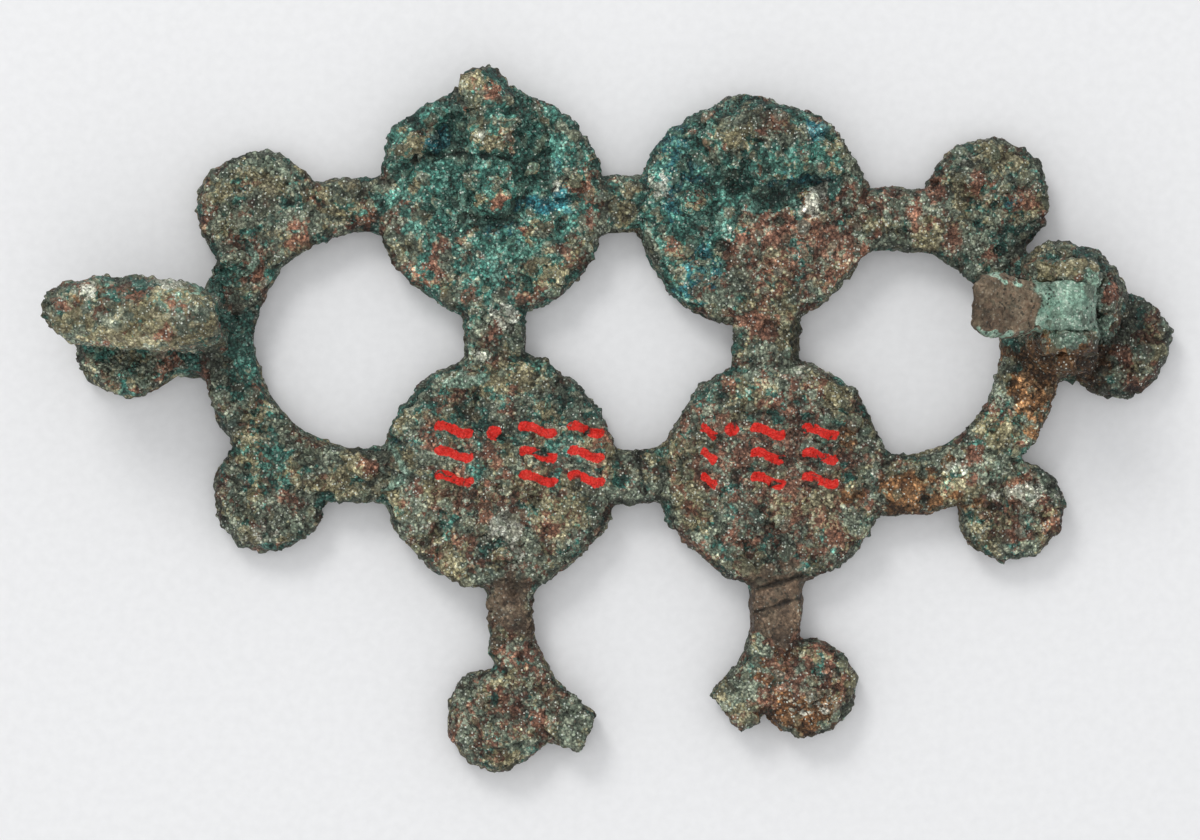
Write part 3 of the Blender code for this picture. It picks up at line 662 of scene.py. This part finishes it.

# %% [markdown]
# ## Patches of corrosion
# Malachite green, azurite blue, red cuprite, pale salts, mint and iron rust each grew in their own places,
# and on the broken arms the brown metal shows bare. Every patch is an oval told from a disc or lobe, with
# its edge torn by noise. The shader later lets single grains, not a soft brush, decide between two colours,
# because that is how the minerals meet on the real crust. The last table makes whole places lighter or
# darker: mostly in their own tone, and with painted shadow under a ledge and in a valley.

# %% Where each mineral lies, as ovals of (place, radii, share) by mineral and anchor
TEAL, AZURE, CUPRITE, BLOOM, MINT, RUST, EARTH, BARE, TONE_AND_SHADE = range(9)
PATCHES = {
    (TEAL, "upper_left"): (
        (0.0, 1.3, 4.6, 3.9, 0.78), (2.15, 1.5, 0.7, 1.5, 1.0), (-1.95, 2.3, 0.7, 1.5, 0.95),
        (0.1, -0.9, 1.4, 0.4, 0.9), (0.3, -2.8, 3.6, 2.3, 0.50), (-1.6, 2.6, 2.0, 2.0, 0.5),
    ),
    (TEAL, "upper_right"): (
        (0.9, 0.9, 1.9, 0.8, 1.0), (-2.6, 1.0, 2.1, 3.9, 0.82), (0.9, 1.6, 3.0, 1.6, 0.75),
        (0.4, 3.3, 3.6, 1.5, 0.45), (-2.6, -2.2, 1.8, 1.6, 0.5),
    ),
    (TEAL, "lower_left"): (
        (-1.6, 2.4, 3.4, 2.4, 0.38), (2.6, 1.9, 1.8, 1.8, 0.42), (0.0, 0.0, 4.8, 4.8, 0.16),
    ),
    (TEAL, "lower_right"): ((-1.8, 3.1, 2.6, 1.6, 0.4), (-0.4, -3.6, 2.6, 1.4, 0.3)),
    (TEAL, "left_upper"): ((0.2, 0.0, 2.4, 2.4, 0.32),),
    (TEAL, "left_end"): ((4.9, -1.2, 1.6, 3.2, 0.42), (5.6, -4.6, 1.7, 1.8, 0.5)),
    (TEAL, "catch"): ((0.0, 0.0, 4.2, 1.8, 0.42),),
    (TEAL, "hinge"): ((0.6, 1.8, 2.0, 1.0, 0.4),),
    (TEAL, "right_upper"): ((0.3, 0.2, 2.2, 2.2, 0.35), (-1.2, -2.6, 1.6, 1.4, 0.35)),
    (TEAL, "right_lower"): ((-4.2, 2.5, 2.6, 1.2, 0.2), (0.2, 3.6, 1.4, 1.4, 0.35)),
    (TEAL, "below_left"): ((0.0, 0.0, 2.4, 2.4, 0.14),),
    (AZURE, "upper_left"): (
        (2.75, 0.5, 0.45, 0.75, 0.7), (2.2, -0.2, 1.2, 0.4, 0.6), (-2.4, 2.4, 0.7, 0.5, 0.7),
        (0.6, -1.2, 1.6, 0.4, 0.35),
    ),
    (AZURE, "upper_right"): (
        (-3.2, 1.6, 1.2, 2.4, 0.42), (-2.2, -2.3, 0.9, 1.3, 0.5), (2.5, 3.2, 0.5, 0.45, 0.8),
        (1.6, 1.3, 1.4, 0.35, 0.5),
    ),
    (AZURE, "right_upper"): ((1.1, 0.4, 0.8, 0.9, 0.3),),
    (AZURE, "lower_left"): ((-4.0, 1.0, 0.7, 0.5, 0.3),),
    (CUPRITE, "upper_left"): (
        (0.1, 4.3, 0.75, 0.35, 0.7), (-2.0, -2.6, 1.8, 1.4, 0.3), (3.2, -0.9, 1.3, 1.2, 0.35),
    ),
    (CUPRITE, "upper_right"): (
        (1.7, -0.9, 3.3, 3.2, 0.56), (0.6, -2.6, 1.8, 1.6, 0.45), (1.0, 3.4, 0.9, 0.45, 0.6),
        (4.4, 0.4, 2.2, 1.2, 0.45),
    ),
    (CUPRITE, "lower_left"): (
        (-0.4, -2.2, 3.8, 2.4, 0.45), (2.2, -0.8, 1.6, 2.0, 0.35), (-2.6, 1.1, 1.5, 0.7, 0.35),
    ),
    (CUPRITE, "lower_right"): ((0.0, 0.2, 4.8, 4.4, 0.5), (2.2, -1.6, 2.2, 2.4, 0.4)),
    (CUPRITE, "left_upper"): ((0.2, 0.2, 2.3, 2.3, 0.25),),
    (CUPRITE, "left_lower"): ((0.0, 0.2, 2.4, 2.2, 0.36), (-0.4, 3.6, 1.2, 1.8, 0.25)),
    (CUPRITE, "left_end"): ((-0.2, -1.2, 2.4, 1.2, 0.15),),
    (CUPRITE, "right_upper"): ((-3.4, -0.4, 2.0, 1.1, 0.4), (0.3, -0.8, 2.0, 1.6, 0.3)),
    (CUPRITE, "right_end"): ((0.4, -0.2, 2.2, 2.0, 0.45),),
    (CUPRITE, "right_lower"): ((-0.4, 0.2, 2.1, 2.1, 0.4),),
    (CUPRITE, "below_left"): ((0.2, 0.2, 2.6, 2.6, 0.42), (0.4, 4.0, 1.4, 2.4, 0.5)),
    (CUPRITE, "below_right"): ((0.2, 0.0, 2.4, 2.2, 0.5), (-0.9, 3.2, 1.6, 2.0, 0.75)),
    (CUPRITE, "catch"): ((-2.2, 0.9, 1.5, 0.7, 0.5),),
    (BLOOM, "upper_left"): (
        (-0.35, 2.65, 0.40, 0.40, 0.5), (2.65, 0.6, 0.22, 0.4, 0.8), (0.5, -4.6, 0.65, 0.55, 0.6),
    ),
    (BLOOM, "upper_right"): (
        (2.45, 0.45, 0.50, 0.62, 0.85), (-3.75, 1.0, 0.75, 0.65, 0.5), (-1.0, -1.0, 0.5, 0.5, 0.25),
    ),
    (BLOOM, "lower_left"): (
        (0.25, -2.4, 0.85, 0.70, 0.75), (-0.65, 4.62, 0.35, 0.30, 0.85), (-2.9, -2.6, 1.0, 0.8, 0.3),
    ),
    (BLOOM, "lower_right"): ((1.5, 4.1, 1.4, 0.7, 0.35), (4.2, 0.0, 0.6, 0.6, 0.3)),
    (BLOOM, "right_lower"): ((0.6, 0.7, 1.2, 0.45, 0.6), (-2.4, 1.8, 0.6, 0.4, 0.45)),
    (BLOOM, "right_upper"): ((-0.8, 1.5, 0.4, 0.35, 0.4),),
    (BLOOM, "left_lower"): ((-0.2, -1.6, 1.0, 0.4, 0.35),),
    (BLOOM, "below_right"): ((0.3, -0.7, 1.4, 0.5, 0.4),),
    (BLOOM, "catch"): (
        (1.7, 0.9, 0.6, 0.4, 0.7), (-1.5, 0.5, 0.35, 0.4, 0.6), (-3.4, 0.5, 0.4, 0.4, 0.5),
    ),
    (MINT, "upper_left"): ((2.5, 0.7, 0.45, 0.6, 0.6), (1.6, -0.2, 1.0, 1.0, 0.2)),
    (MINT, "lower_left"): ((-1.25, 3.65, 1.0, 0.35, 0.75),),
    (MINT, "lower_right"): ((-0.6, 3.9, 0.9, 0.4, 0.35),),
    (MINT, "hinge"): (
        (0.9, 0.3, 0.9, 1.1, 0.75), (1.3, -0.9, 1.1, 0.6, 0.7), (0.4, -1.2, 1.4, 0.4, 0.7),
    ),
    (MINT, "catch"): ((1.9, 0.3, 1.4, 0.9, 0.4),),
    (RUST, "hinge"): (
        (0.2, -2.0, 2.0, 0.95, 1.0), (-0.8, -3.5, 1.2, 1.4, 0.8), (1.6, -1.9, 0.9, 1.5, 0.5),
    ),
    (RUST, "right_lower"): (
        (-4.2, 0.6, 1.3, 1.0, 0.75), (-1.9, 0.2, 0.7, 0.6, 0.55), (-2.5, 2.0, 0.4, 0.3, 0.9),
    ),
    (RUST, "lower_right"): ((3.1, -0.9, 0.5, 0.35, 0.7), (2.9, 1.4, 0.45, 0.6, 0.6)),
    (RUST, "below_right"): ((-0.1, -1.1, 1.5, 0.8, 0.9), (-1.2, 1.1, 1.2, 0.8, 0.45)),
    (RUST, "below_left"): ((0.2, 4.4, 0.9, 1.5, 0.25),),
    (RUST, "upper_right"): ((0.8, -3.4, 1.2, 1.2, 0.2),),
    (RUST, "catch"): ((-0.8, 0.4, 2.0, 0.7, 0.35),),
    (EARTH, "lower_right"): ((-0.9, 2.9, 1.1, 0.9, 0.7), (2.2, 3.6, 1.4, 1.0, 0.45)),
    (EARTH, "upper_left"): ((2.5, -1.9, 1.2, 1.2, 0.4), (5.6, 0.0, 1.6, 1.2, 0.5)),
    (EARTH, "upper_right"): ((0.4, -4.3, 1.8, 1.0, 0.4), (1.7, -1.6, 3.2, 2.6, 0.3)),
    (EARTH, "left_upper"): ((3.4, 0.6, 2.2, 1.2, 0.4),),
    (EARTH, "below_left"): ((0.4, -0.4, 2.6, 2.4, 0.3),),
    (EARTH, "right_lower"): ((-3.4, 0.9, 2.6, 1.2, 0.4),),
    (EARTH, "catch"): ((0.2, 0.5, 4.0, 1.6, 0.35),),
    (EARTH, "left_end"): ((-0.2, -0.8, 2.4, 1.6, 0.55),),
    (BARE, "lower_right"): ((0.25, -5.1, 1.4, 1.35, 0.95),),
    (BARE, "lower_left"): ((0.45, -5.4, 0.9, 1.35, 0.7),),
}

# Pale rings round blisters, as (mineral, anchor, place, radii, share)
RIMS = (
    (MINT, "left_upper", -1.0, -1.95, 0.95, 0.70, 1.0),
    (MINT, "left_lower", 4.2, 1.1, 1.3, 0.95, 0.9),
    (BLOOM, "lower_left", 0.15, -3.35, 0.66, 0.48, 0.8),
)
RIM_WIDTH = 0.18
PATCH_TEAR, PATCH_EDGE = 0.75, 0.8
CRACK_SHADE = 0.75

# How much lighter or darker than usual a place is, as (anchor, place, radii, factor). Most entries are a
# place's own tone, and the two marked below are painted shadow.
TONE_AND_SHADE_PLACES = (
    ("right_end", 0.3, -0.3, 2.6, 2.4, 0.58),
    ("hinge", 0.2, -2.0, 2.0, 0.95, 0.80),
    ("hinge", -2.0, 0.2, 1.4, 1.4, 1.32),
    ("hinge", 0.0, 0.2, 0.9, 0.9, 1.1),
    ("hinge", 0.4, 1.9, 1.8, 1.0, 0.8),
    ("hinge", -0.9, -3.6, 1.0, 1.0, 1.7),
    ("lower_right", 0.0, 0.0, 4.8, 4.8, 0.95),
    # Painted shadow in the valley under the bank
    ("upper_right", 0.9, 1.0, 1.5, 0.6, 0.75),
    # Painted shadow under the chin ledge
    ("upper_left", 0.1, -0.85, 1.0, 0.25, 0.75),
    ("lower_left", 0.0, 2.8, 4.2, 2.2, 0.84),
    ("lower_left", 0.4, -5.6, 1.3, 1.8, 0.88),
    ("lower_right", 0.2, -5.4, 1.7, 2.0, 0.88),
    ("left_lower", 0.0, 0.0, 2.4, 2.4, 0.95),
    ("right_upper", 0.0, 0.0, 2.4, 2.4, 0.93),
    ("below_left", 0.3, 0.0, 2.8, 2.4, 0.93),
    ("left_end", 4.9, -1.2, 1.4, 3.2, 0.85),
    ("upper_right", 0.4, 2.8, 3.8, 1.6, 0.84),
    ("upper_left", 0.0, -2.6, 4.0, 2.0, 1.10),
    ("left_end", -0.2, -0.8, 2.4, 1.6, 1.75),
    ("right_lower", -0.3, 3.4, 1.3, 1.8, 1.55),
    ("lower_right", 1.5, 3.6, 2.6, 1.4, 1.12),
    ("upper_left", -3.2, 3.2, 1.6, 1.6, 0.85),
    ("lower_right", -1.5, 1.2, 2.8, 1.4, 0.88),
)


def mineral_shares(points):
    """How much of each mineral lies at each point, from 0 to 1."""
    torn = rough_noise(points, 0.9) + 0.7 * rough_noise(points, 0.38)
    stray = [np.clip(rough_noise(points + 10.0 * i, 1.3 - 0.2 * i) + 0.15, 0, 1) for i in range(4)]
    shares = np.zeros((len(points), 9))
    shares[:, EARTH] = 0.22 + 0.7 * stray[0]
    shares[:, CUPRITE] = 0.16 + 0.65 * stray[1]
    shares[:, TEAL] = 0.10 + 0.5 * stray[2]
    shares[:, BLOOM] = 0.03 + 0.25 * stray[3] * stray[0]
    for (mineral, anchor), patches in PATCHES.items():
        for east, north, wide, deep, amount in patches:
            away = oval(points, ANCHORS[anchor] + Vector((east, north)), wide, deep) + torn * PATCH_TEAR
            here = np.clip((1.35 - away) / PATCH_EDGE, 0, 1) * amount
            shares[:, mineral] = np.maximum(shares[:, mineral], here)
    for mineral, anchor, east, north, wide, deep, amount in RIMS:
        centre = ANCHORS[anchor] + Vector((east, north))
        off = np.abs(oval(points, centre, wide, deep) - 1 + torn * 0.16) * min(wide, deep)
        side = np.clip(0.6 + (points[:, 0] - centre.x) / wide + torn * 0.5, 0, 1)
        here = np.clip(1 - off / RIM_WIDTH, 0, 1) * side * amount
        shares[:, mineral] = np.maximum(shares[:, mineral], here)
    shares[:, TONE_AND_SHADE] = 1 + 0.45 * rough_noise(points, 1.6) + 0.4 * rough_noise(points, 0.7)
    for anchor, east, north, wide, deep, factor in TONE_AND_SHADE_PLACES:
        away = oval(points, ANCHORS[anchor] + Vector((east, north)), wide, deep) + torn * 0.3
        shares[:, TONE_AND_SHADE] *= 1 + (factor - 1) * np.clip((1.2 - away) / 0.4, 0, 1)
    # Painted shade along the cracks.
    shares[:, TONE_AND_SHADE] *= 1 - CRACK_SHADE * in_cracks(points)
    shares[:, :TONE_AND_SHADE] = np.clip(shares[:, :TONE_AND_SHADE], 0, 1)
    return shares


def write_skin(mesh, shares, skin):
    """Stores the shares and the heights and pebbles of the crust on the mesh, for the shader to read."""
    proud, lump = np.clip(0.5 + 0.5 * skin[:, :2].T, 0, 1)
    relief = np.column_stack((proud, lump, skin[:, 3]))
    layers = {"greens": shares[:, :3], "pales": shares[:, 3:6], "grounds": shares[:, 6:], "relief": relief}
    for name, values in layers.items():
        layer = mesh.attributes.new(name, "FLOAT_COLOR", "POINT")
        four = np.ones((len(values), 4), np.float32)
        four[:, :3] = values
        layer.data.foreach_set("color", four.ravel())
    layer = mesh.attributes.new("stone", "FLOAT", "POINT")
    layer.data.foreach_set("value", skin[:, 2].astype(np.float32))


write_skin(body.data, mineral_shares(body_points), body_skin)
print(sum(len(patches) for patches in PATCHES.values()), "patches written")

# %% [markdown]
# ## The crust's colours
# Each grain is one mineral. Cell patterns and clouds of noise give every grain a chance number, and where
# that number is below a mineral's share, the grain takes that mineral's colour. Green and blue gather in
# the hollows. Each pebble has a brown or green of its own. Painted shade makes hollows, creases, pits and
# steep sides darker and tops paler, and painted highlights make a few crystals glint. The base is the
# metal's own olive and grey-brown crust with sandy earth in it.

# %% Finish of the crust
SAND_CELL = 0.24
DUST_CELL = 0.12
GLINT_CELL = 0.09
CREASE_CELL = 0.19
GRAIN_EDGE = 7.0
HIGH_FROM = 3.5


def attribute(bench, name, out):
    return bench.node("ShaderNodeAttribute", {"attribute_name": name}, out=out)


def ramp(signal, *stops):
    spaced = tuple((i / (len(stops) - 1), stop) for i, stop in enumerate(stops))
    return signal.node("ShaderNodeValToRGB", {"stops": spaced}, {0: signal})


def chance(share, number):
    """1 where a grain's chance number is under the share, 0 where it is over, with a short slope between."""
    return ((share * 1.1 - number) * GRAIN_EDGE + 0.5).clamped()


def spread(cloud):
    """Noise keeps near its middle. This stretches it over the whole of 0 to 1."""
    return ((cloud - 0.5) * 2.3 + 0.5).clamped()


def cells(place, size):
    """Grains of one size: three random numbers for each grain, and how far a place is from its middle."""
    pattern = place.node("ShaderNodeTexVoronoi", inputs={"Vector": place, "Scale": 1 / size}, out=1)
    return (*pattern.parts(), Signal(place.tree, pattern.socket.node.outputs["Distance"]))


def crust_colour(bench, place, contrast):
    """The colour, roughness and height of the crust at each place in millimetres."""
    wobble = place.node("ShaderNodeTexNoise", inputs={"Vector": place, "Scale": 3.0, "Detail": 1.0}, out=1)
    bent = place.shifted(wobble.scaled(0.12))
    first, second, third, sand_fall = cells(bent, SAND_CELL)
    dust_one, dust_two, dust_tone, dust_fall = cells(bent, DUST_CELL)
    glint, pit, _, glint_fall = cells(place, GLINT_CELL)
    torn = place.node("ShaderNodeTexNoise", inputs={"Vector": place, "Scale": 9.0, "Detail": 1.0}, out=1)
    edges = {"Vector": bent.shifted(torn.scaled(0.13)), "Scale": 1 / CREASE_CELL}
    crease = bent.node("ShaderNodeTexVoronoi", {"feature": "DISTANCE_TO_EDGE"}, edges)
    settings = {"Vector": place, "Scale": 1.5, "Detail": 7.0, "Roughness": 0.72}
    cloud_east, cloud_north, cloud_up = place.node("ShaderNodeTexNoise", inputs=settings, out=1).parts()
    patchy, broken, strewn = spread(cloud_east), spread(cloud_north), spread(cloud_up)
    teal, azure, cuprite = attribute(bench, "greens", "Vector").parts()
    bloom, mint, rust = attribute(bench, "pales", "Vector").parts()
    earth, bare, tone_and_shade = attribute(bench, "grounds", "Vector").parts()
    proud, lump, own = attribute(bench, "relief", "Vector").parts()
    stone = attribute(bench, "stone", "Fac")

    mixed = ((dust_tone * 0.28 + first * 0.24 + broken * 0.48 - 0.5) * 1.5 + 0.5).clamped()
    colour = ramp(mixed, tone(50, 56, 48), tone(86, 96, 84), tone(116, 124, 108), tone(168, 172, 150))
    sandy = ramp(mixed, tone(80, 72, 50), tone(126, 118, 88), tone(186, 178, 146))
    high_earth = earth * (lump * 0.6 + 0.7)
    colour = colour.blend(sandy, chance(high_earth, strewn * 0.55 + third * 0.25 + dust_one * 0.2) * 0.85)
    reds = ramp(mixed, tone(80, 50, 41), tone(132, 88, 71), tone(178, 130, 106))
    colour = colour.blend(reds, chance(cuprite, broken * 0.55 + second * 0.25 + dust_two * 0.2) * 0.85)
    greens = ramp(mixed, tone(32, 74, 69), tone(66, 128, 116), tone(134, 194, 178))
    low_teal = teal * (1.6 - lump * 0.8 - proud * 0.3)
    colour = colour.blend(greens, chance(low_teal, patchy * 0.55 + first * 0.25 + dust_one * 0.2) * 0.85)
    blues = ramp(mixed, tone(26, 84, 108), tone(54, 138, 158), tone(120, 212, 214))
    low_azure = azure * (1.6 - lump * 1.2)
    colour = colour.blend(blues, chance(low_azure, patchy * 0.4 + third * 0.3 + dust_two * 0.3) * 0.6)
    rusts = ramp(mixed, tone(58, 38, 22), tone(116, 80, 50), tone(176, 130, 88))
    colour = colour.blend(rusts, chance(rust, broken * 0.55 + third * 0.25 + dust_one * 0.2) * 0.9)
    mints = ramp(mixed, tone(98, 134, 118), tone(144, 180, 160), tone(196, 220, 202))
    colour = colour.blend(mints, chance(mint, patchy * 0.6 + first * 0.2 + dust_two * 0.2) * 0.85)
    salts = ramp(mixed, tone(140, 144, 126), tone(196, 198, 180), tone(236, 238, 228))
    colour = colour.blend(salts, chance(bloom, strewn * 0.4 + second * 0.3 + dust_one * 0.3) * 0.85)

    raised = (proud * 1.3 + lump * 0.5 - 0.4).clamped()
    pebbly = ramp(own, tone(66, 58, 46), tone(74, 92, 80), tone(112, 108, 84), tone(84, 104, 96))
    colour = colour.blend(pebbly, ((stone - 0.25) * 3.0).clamped() * 0.6)
    chestnut = ramp(mixed, tone(58, 48, 38), tone(94, 80, 65), tone(124, 108, 90))
    colour = colour.blend(chestnut, ((bare * 1.3 - strewn * 0.5) * 3.0).clamped() * 0.9)
    # Painted shade and light: each grain darkens towards its edge, a few grains turn much brighter as painted
    # highlights, and hollows are darker and tops paler.
    shade = (1.45 - dust_fall * 1.1) * (0.57 + dust_two * dust_two * 1.2) * (0.44 + raised * 1.05)
    # Painted shade in the creases between grains, by an amount that a cloud of noise varies.
    shade = shade * ((crease * 9.0).clamped() * (0.3 + broken * 0.5) + 0.85 - broken * 0.35)
    _, _, facing = bench.node("ShaderNodeNewGeometry", out="True Normal").parts()
    _, _, height = place.parts()
    # The painted shade is weaker on parts above HIGH_FROM, on bare metal and on pebbles.
    softer = (1 - ((height - HIGH_FROM) * 0.3).clamped() * 0.4) * (1 - bare * 0.6) * (1 - stone * 0.3)
    colour = colour.blend(shade_colour(shade), softer * contrast, "MULTIPLY")
    # Painted shade on steep and downward faces, tinted brown.
    steep = (0.6 - facing * 1.2).clamped()
    colour = colour.blend(tone(150, 132, 108), steep, "MULTIPLY")
    # Each place's own tone, with painted shadow under the chin ledge, in the valley under the bank and along
    # the cracks.
    colour = colour.blend(shade_colour(tone_and_shade), 1.0, "MULTIPLY")
    # Painted shade: dark spots stand for small pits, fewer on raised places.
    pit_shade = ((pit - 0.86) * 20.0).clamped() * (1 - raised * 0.5)
    colour = colour.blend(tone(34, 34, 28), pit_shade * 0.85)
    # Painted highlights: near-white glints on a few grains, more on tops and none on bare metal. Roughness is
    # lower there too.
    glint_spots = ((glint - 0.88) * 20.0).clamped() * ((0.55 - glint_fall) * 4.0).clamped()
    painted_glint = glint_spots * (raised * 0.7 + 0.3) * (1 - bare)
    colour = colour.blend(tone(232, 240, 228), painted_glint * 0.85)
    rough = (0.7 - painted_glint * 0.4 - dust_one * 0.2).clamped()
    height = (crease * 5.0).clamped() * 0.4 - sand_fall * 0.6 - dust_fall * 0.7 + dust_tone * 0.3
    return colour, rough, height * (1 - bare * 0.7)


def shade_colour(value):
    return value.node("ShaderNodeCombineXYZ", inputs={0: value, 1: value, 2: value})


# %% [markdown]
# ## Marks in red paint
# Red marks were once brushed on the two lower discs. They are colour only, so they belong in the shader.
# Each mark here is a stack of short wavy strokes of the brush, and between them sits a round dab. A stroke
# is the distance to a wave, cut off at a half width, and the paint skips the deepest hollows.

# %% Brush marks
STROKE = 0.21
STROKE_PITCH = 0.98
WAVE_RISE = 0.16
STROKE_RAGGED = 0.22
PAINT_EDGE = 30.0
MARKS = (
    ("lower_left", -1.86, 0.70, 0.80),
    ("lower_left", 1.50, 0.70, 0.80),
    ("lower_left", 3.42, 0.70, 0.76),
    ("lower_right", -2.60, 0.66, 0.36),
    ("lower_right", -0.22, 0.66, 0.72),
    ("lower_right", 1.86, 0.66, 0.76),
)
DABS = (("lower_left", -0.24, 1.56), ("lower_right", -1.68, 1.74))
DAB_RADIUS = 0.30


def brushed(place, wobble):
    """1 where there is red paint, from a place in millimetres."""
    east, north, _ = place.parts()
    paint = None
    for anchor, across, up, half in MARKS:
        centre = ANCHORS[anchor] + Vector((across, up))
        u = east - centre.x
        v = north - centre.y + (u * (2.6 / half)).maths("SINE") * WAVE_RISE
        row = v.maths("DIVIDE", STROKE_PITCH).maths("ROUND").maths("MAXIMUM", -1.0).maths("MINIMUM", 1.0)
        off = (v - row * STROKE_PITCH).maths("ABSOLUTE")
        past = (u.maths("ABSOLUTE") - half + STROKE).maths("MAXIMUM", 0.0)
        reach = (off * off + past * past).maths("SQRT")
        inside = ((STROKE + (wobble - 0.5) * STROKE_RAGGED - reach) * PAINT_EDGE).clamped()
        paint = inside if paint is None else paint.maths("MAXIMUM", inside)
    for anchor, across, up in DABS:
        centre = ANCHORS[anchor] + Vector((across, up))
        u, v = east - centre.x, north - centre.y
        reach = (u * u + v * v).maths("SQRT")
        inside = ((DAB_RADIUS + (wobble - 0.5) * STROKE_RAGGED - reach) * PAINT_EDGE).clamped()
        paint = paint.maths("MAXIMUM", inside)
    return paint


# %% The body's finish
GRAIN_HEIGHT = 0.08


def crust_finish(name, painted=False, contrast=1.0):
    finish, shader, bench = new_finish(name)
    place = bench.node("ShaderNodeTexCoord", out="Object").scaled(1 / MM)
    colour, rough, height = crust_colour(bench, place, contrast)
    if painted:
        wobble = place.node("ShaderNodeTexNoise", inputs={"Vector": place, "Scale": 5.0, "Detail": 3.0})
        _, _, facing = bench.node("ShaderNodeNewGeometry", out="True Normal").parts()
        upward = ((facing - 0.15) * 6.0).clamped()
        worn = (attribute(bench, "relief", "Vector").parts()[0] * 6.0 - 0.2).clamped()
        paint = brushed(place, wobble) * upward * worn
        reds = ramp(wobble, tone(176, 24, 17), tone(230, 38, 28), tone(246, 70, 54))
        colour = colour.blend(reds, paint * 0.95)
        rough = (rough - paint * 0.15).clamped()
    plug(shader, "Base Color", colour)
    plug(shader, "Roughness", rough)
    settings = {"Height": height, "Distance": GRAIN_HEIGHT * MM, "Strength": 1.0}
    plug(shader, "Normal", height.node("ShaderNodeBump", inputs=settings))
    shader.inputs["Specular IOR Level"].default_value = 0.4
    return finish


body.data.materials.clear()
body.data.materials.append(crust_finish("patinated_bronze", painted=True))
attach(body, "root")
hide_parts("brooch_body")
print("nodes in the finish:", len(body.data.materials[0].node_tree.nodes))

# %% [markdown]
# ## Hinge: the pin's root and its axle
# The pin broke off close to its head. The root is stuck fast between the two lugs, and the iron axle has
# swollen into rust. Both solids get the same treatment as the body, with a finer mesh because they are
# small. The stump of the pin is bare and brown in its middle, with mint along its sides.

# %% Pin root and axle


def crusted(node, share, calm, swollen):
    """Dresses a small solid in crust. Share tells its minerals, and swollen how far it swells."""
    piece = refined(merged_copy(node, f"{node}_crusted"), SMALL_VOXEL, 4)
    normals = normals_of(piece.data)
    points = points_of(piece.data)
    points += normals * np.clip(np.abs(normals[:, 1:2]) + normals[:, 2:3] * 0.3, 0, 1) * swollen
    everywhere = np.ones(len(points))
    points, proud, stones = crust(points, normals, calm * everywhere, 0.6 * everywhere)
    proud, lump = standing(points, normals, proud)
    move_to(piece, points)
    piece.data.shade_smooth()
    write_skin(piece.data, share(points), np.column_stack((proud, lump, stones)))
    piece.data.materials.clear()
    piece.data.materials.append(crust_finish(f"{node}_crust", contrast=0.6))
    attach(piece, "root")
    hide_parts(node)
    print(piece.name, len(piece.data.polygons), "faces")


def pin_minerals(points):
    """Brown at the broken end, with mint on its sides and over the head."""
    shares = mineral_shares(points)
    torn = rough_noise(points, 0.7) + 0.5 * rough_noise(points, 0.3)
    along = np.clip((ANCHORS["hinge"].x - points[:, 0] - 0.7 + torn * 1.2) / 0.8, 0, 1)
    sides = np.clip((np.abs(points[:, 1] - ANCHORS["hinge"].y) - 0.95 + torn * 0.8) * 3, 0, 1)
    shares[:, MINT] = 0.85 * (1 - along) + 0.10 * along
    shares[:, CUPRITE] = 0.45 * along
    shares[:, EARTH] = 0.25 + 0.15 * along
    shares[:, TEAL] = 0.30
    shares[:, RUST] = 0.22 * along
    shares[:, MINT] += 0.8 * along * sides
    shares[:, BARE] = 0.8 * along * (1 - sides)
    return shares


def axle_minerals(points):
    """Rust on the lower half, where the photograph shows it."""
    shares = mineral_shares(points)
    lower = points[:, 1] < ANCHORS["hinge"].y
    shares[:, RUST] = 0.15 + 0.8 * lower
    shares[:, TEAL] *= 1 - lower
    return shares


crusted("pin_root", pin_minerals, 0.6, 0.14)
crusted("hinge_axle", axle_minerals, 0.2, 0.05)

# %% [markdown]
# ## Enamel
# The cells of the front once held glass paste in two colours. Time has dulled and pitted it. The photograph
# never shows that side, so the inlays keep their plain solids, with a finish of clouded glass, bubbles and
# brown dirt.

# %% Enamel finish
ENAMEL_PIT_DEPTH = 0.05


def enamel_finish(name, deep, mid, pale):
    finish, shader, bench = new_finish(name)
    place = bench.node("ShaderNodeTexCoord", out="Object").scaled(1 / MM)
    cloud = place.node("ShaderNodeTexNoise", inputs={"Vector": place, "Scale": 1.6, "Detail": 5.0})
    bubble = place.node("ShaderNodeTexVoronoi", inputs={"Vector": place, "Scale": 3.2})
    pit = ((0.16 - bubble) * 12.0).clamped()
    dirt = ((place.node("ShaderNodeTexNoise", inputs={"Vector": place, "Scale": 3.5}) - 0.56) * 9.0).clamped()
    colour = ramp(((cloud - 0.5) * 2.2 + 0.5).clamped(), deep, mid, pale)
    colour = colour.blend(tone(78, 66, 48), (dirt * 0.6 + pit * 0.7).clamped())
    plug(shader, "Base Color", colour)
    plug(shader, "Roughness", (0.32 + dirt * 0.35 + pit * 0.3 + cloud * 0.1).clamped())
    height = 1.0 - pit - dirt * 0.2 + cloud * 0.3
    settings = {"Height": height, "Distance": ENAMEL_PIT_DEPTH * MM, "Strength": 0.8}
    plug(shader, "Normal", height.node("ShaderNodeBump", inputs=settings))
    return finish


blue = enamel_finish("blue_enamel", tone(26, 44, 72), tone(48, 84, 118), tone(104, 136, 150))
red = enamel_finish("red_enamel", tone(88, 26, 16), tone(146, 46, 28), tone(178, 92, 62))
for name, node in frame["nodes"].items():
    if name.startswith("enamel"):
        node.data.materials.clear()
        node.data.materials.append(blue if "disc" in name else red)
print("enamel done")
